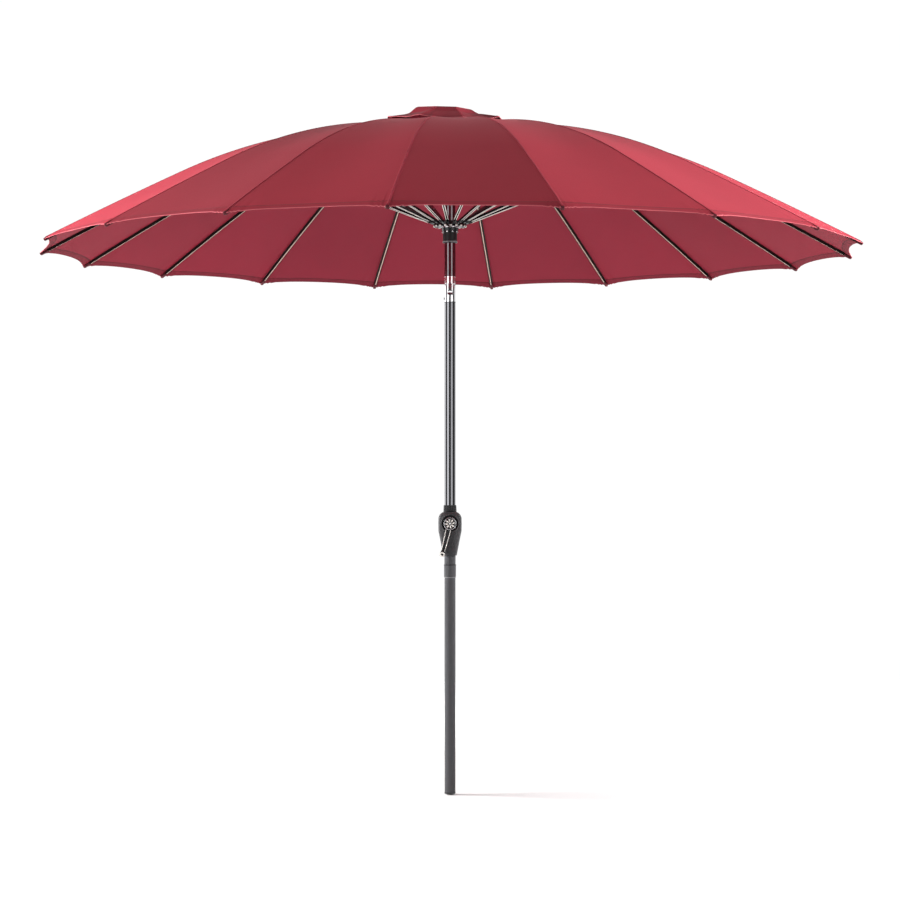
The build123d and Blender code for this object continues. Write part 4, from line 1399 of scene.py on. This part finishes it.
@dataclass(frozen=True)
class Lamp:
    """A soft rectangular lamp that the camera doesn't see, with its power in watts."""

    name: str
    at: Point
    to: Point
    size: tuple[float, float]
    lights: Lights
    power: float

    def make(self) -> None:
        """Puts the lamp in its place, facing its aim."""
        light = bpy.data.lights.new(f"light_{self.name}", "AREA")
        light.shape = "RECTANGLE"
        light.size, light.size_y = self.size
        light.energy = self.power
        lamp = bpy.data.objects.new(light.name, light)
        lamp.location = self.at
        lamp.rotation_euler = (Vector(self.to) - Vector(self.at)).to_track_quat("-Z", "Y").to_euler()
        lamp.visible_glossy = self.lights is not Lights.MATT
        lamp.visible_diffuse = self.lights is not Lights.GLOSS
        lamp.visible_camera = False
        bpy.context.scene.collection.objects.link(lamp)


@dataclass
class Studio:
    """A white studio: pale floor, bright backdrop, dim ceiling, soft lamps and a level camera."""

    distance: float = 6.933
    eye: float = 1.184
    lens: float = 80.4
    sensor: float = 36.0
    backdrop: float = 0.95
    ceiling: float = 0.22
    front: float = 0.08
    seen: float = 1.02
    dims_above: tuple[float, float] = (0.22, 0.40)  # the rise, of 1, over which the backdrop dims
    dims_in_front: tuple[float, float] = (-0.2, 0.7)
    square: tuple[tuple[int, int], ...] = ((-1, -1), (1, -1), (1, 1), (-1, 1))
    floor_half: float = 40.0
    floor_z: float = -0.004
    floor_fade: tuple[float, float] = (1.2, 4.5)
    flag: tuple[float, ...] = (2.2, -0.9, 1.1, 0.62, 1.5)  # its x, its ends in y and its ends in z
    lamps: tuple[Lamp, ...] = (
        Lamp("left", (-5.2, 0.3, 2.6), (0, 0, 2.0), (2.2, 2.2), Lights.MATT, 720.0),
        Lamp("right", (5.2, 0.4, 2.6), (0, 0, 2.0), (2.2, 2.2), Lights.MATT, 900.0),
        Lamp("back_left", (-3.6, 5.0, 2.7), (0, 0, 2.0), (2.0, 2.0), Lights.MATT, 150.0),
        Lamp("back_right", (3.6, 5.0, 2.7), (0, 0, 2.0), (2.0, 2.0), Lights.MATT, 150.0),
        Lamp("box_left", (-3.13, -3.24, 1.8), (0, 0, 1.8), (3.3, 2.6), Lights.BOTH, 80.0),
        Lamp("box_right", (2.77, -3.55, 1.8), (0, 0, 1.8), (3.1, 2.6), Lights.BOTH, 52.0),
        Lamp("rim_left", (-3.5, 2.1, 1.5), (0, 0, 1.4), (2.6, 2.6), Lights.GLOSS, 48.0),
        Lamp("inner_left", (-0.55, -0.58, 1.98), (0, 0, 1.95), (0.40, 0.30), Lights.GLOSS, 0.65),
        Lamp("inner_right", (0.49, -0.63, 1.98), (0, 0, 1.95), (0.36, 0.30), Lights.GLOSS, 0.50),
    )

    def surroundings(self) -> World:
        """A white backdrop to look at; what lights the parasol is bright behind, dim in front and above."""
        world = bpy.data.worlds.new("studio")
        world.use_nodes = True
        n = Nodes(world.node_tree)
        place = n.split(n.add("ShaderNodeTexCoord").outputs["Generated"])
        low = n.ramp(place[2], *self.dims_above, 1.0, 0.0)
        behind = n.ramp(place[1], *self.dims_in_front)
        wall = n.plus(n.times(behind, self.backdrop - self.front), self.front)
        power = n.plus(n.times(low, n.minus(wall, self.ceiling)), self.ceiling)
        direct = n.add("ShaderNodeLightPath").outputs["Is Camera Ray"]
        strength = n.plus(n.times(power, n.minus(1.0, direct)), n.times(direct, self.seen))
        n.feed(world.node_tree.nodes["Background"], Color=(1, 1, 1, 1), Strength=strength)
        return world

    def plate(self, name: str, paint: str, grey: float, corners: list[Point]) -> tuple[Object, Nodes, Node]:
        """A flat rectangle of the studio, not of the parasol, with its paint's node maker and shader."""
        material, n, shader = new_material(paint)
        n.feed(shader, Base_Color=(grey, grey, grey, 1))
        made = new_object(name, np.array(corners), [np.array([[0, 1, 2, 3]])], smooth=False)
        made.data.materials.append(material)
        return made, n, shader

    def floor(self) -> None:
        """The floor; it fades out with distance, and isn't seen from below."""
        corners = [(x * self.floor_half, y * self.floor_half, self.floor_z) for x, y in self.square]
        _, n, shader = self.plate("studio_floor", "studio white", 0.8, corners)
        reach = n.add("ShaderNodeVectorMath", operation="LENGTH")
        n.link(n.add("ShaderNodeTexCoord").outputs["Object"], reach.inputs[0])
        above = n.minus(1.0, n.add("ShaderNodeNewGeometry").outputs["Backfacing"])
        fade = n.ramp(reach.outputs["Value"], *self.floor_fade, 1.0, 0.0)
        n.feed(shader, Roughness=0.9, Alpha=n.times(fade, above))

    def shade(self) -> None:
        """A black flag that keeps the right lamp off the lower pole, without being seen."""
        x, near, far, low, high = self.flag
        corners = [(x, near, low), (x, far, low), (x, far, high), (x, near, high)]
        flag, _, _ = self.plate("studio_flag", "studio black", 0.01, corners)
        flag.visible_camera = False
        flag.visible_glossy = False

    def camera(self) -> Object:
        """A level camera in front."""
        camera = bpy.data.cameras.new("camera")
        camera.lens, camera.sensor_width = self.lens, self.sensor
        eye = bpy.data.objects.new("camera", camera)
        eye.location = (0, -self.distance, self.eye)
        eye.rotation_euler = (pi / 2, 0, 0)
        bpy.context.scene.collection.objects.link(eye)
        return eye

    def build(self) -> None:
        """Makes the floor, lights, surroundings and camera."""
        scene = bpy.context.scene
        self.floor()
        self.shade()
        scene.world = self.surroundings()
        for lamp in self.lamps:
            lamp.make()
        scene.camera = self.camera()
        scene.view_settings.view_transform = "Standard"


def main() -> None:
    """Builds the parasol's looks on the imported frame."""
    logging.basicConfig(level=logging.INFO, format="%(name)s %(message)s")
    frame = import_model()
    wardrobe = Wardrobe()
    dress_nodes(frame, wardrobe)
    line = RibLine()
    parts = (Cover(line), VentCover(line), CrankHousing(), CrankTrim(), Fittings(), RibWork(line))
    known = set(bpy.data.objects)
    for part in parts:
        part.build(wardrobe)
        made = [obj for obj in bpy.data.objects if obj not in known]
        known.update(made)
        log.info("%s: %d pieces", type(part).__name__, len(made))
        for piece in made:
            log.info("  %s, %d faces", piece.name, len(piece.data.polygons))
    Studio().build()
    log.info("studio: %d lights", len(bpy.data.lights))


if __name__ == "__main__":
    main()
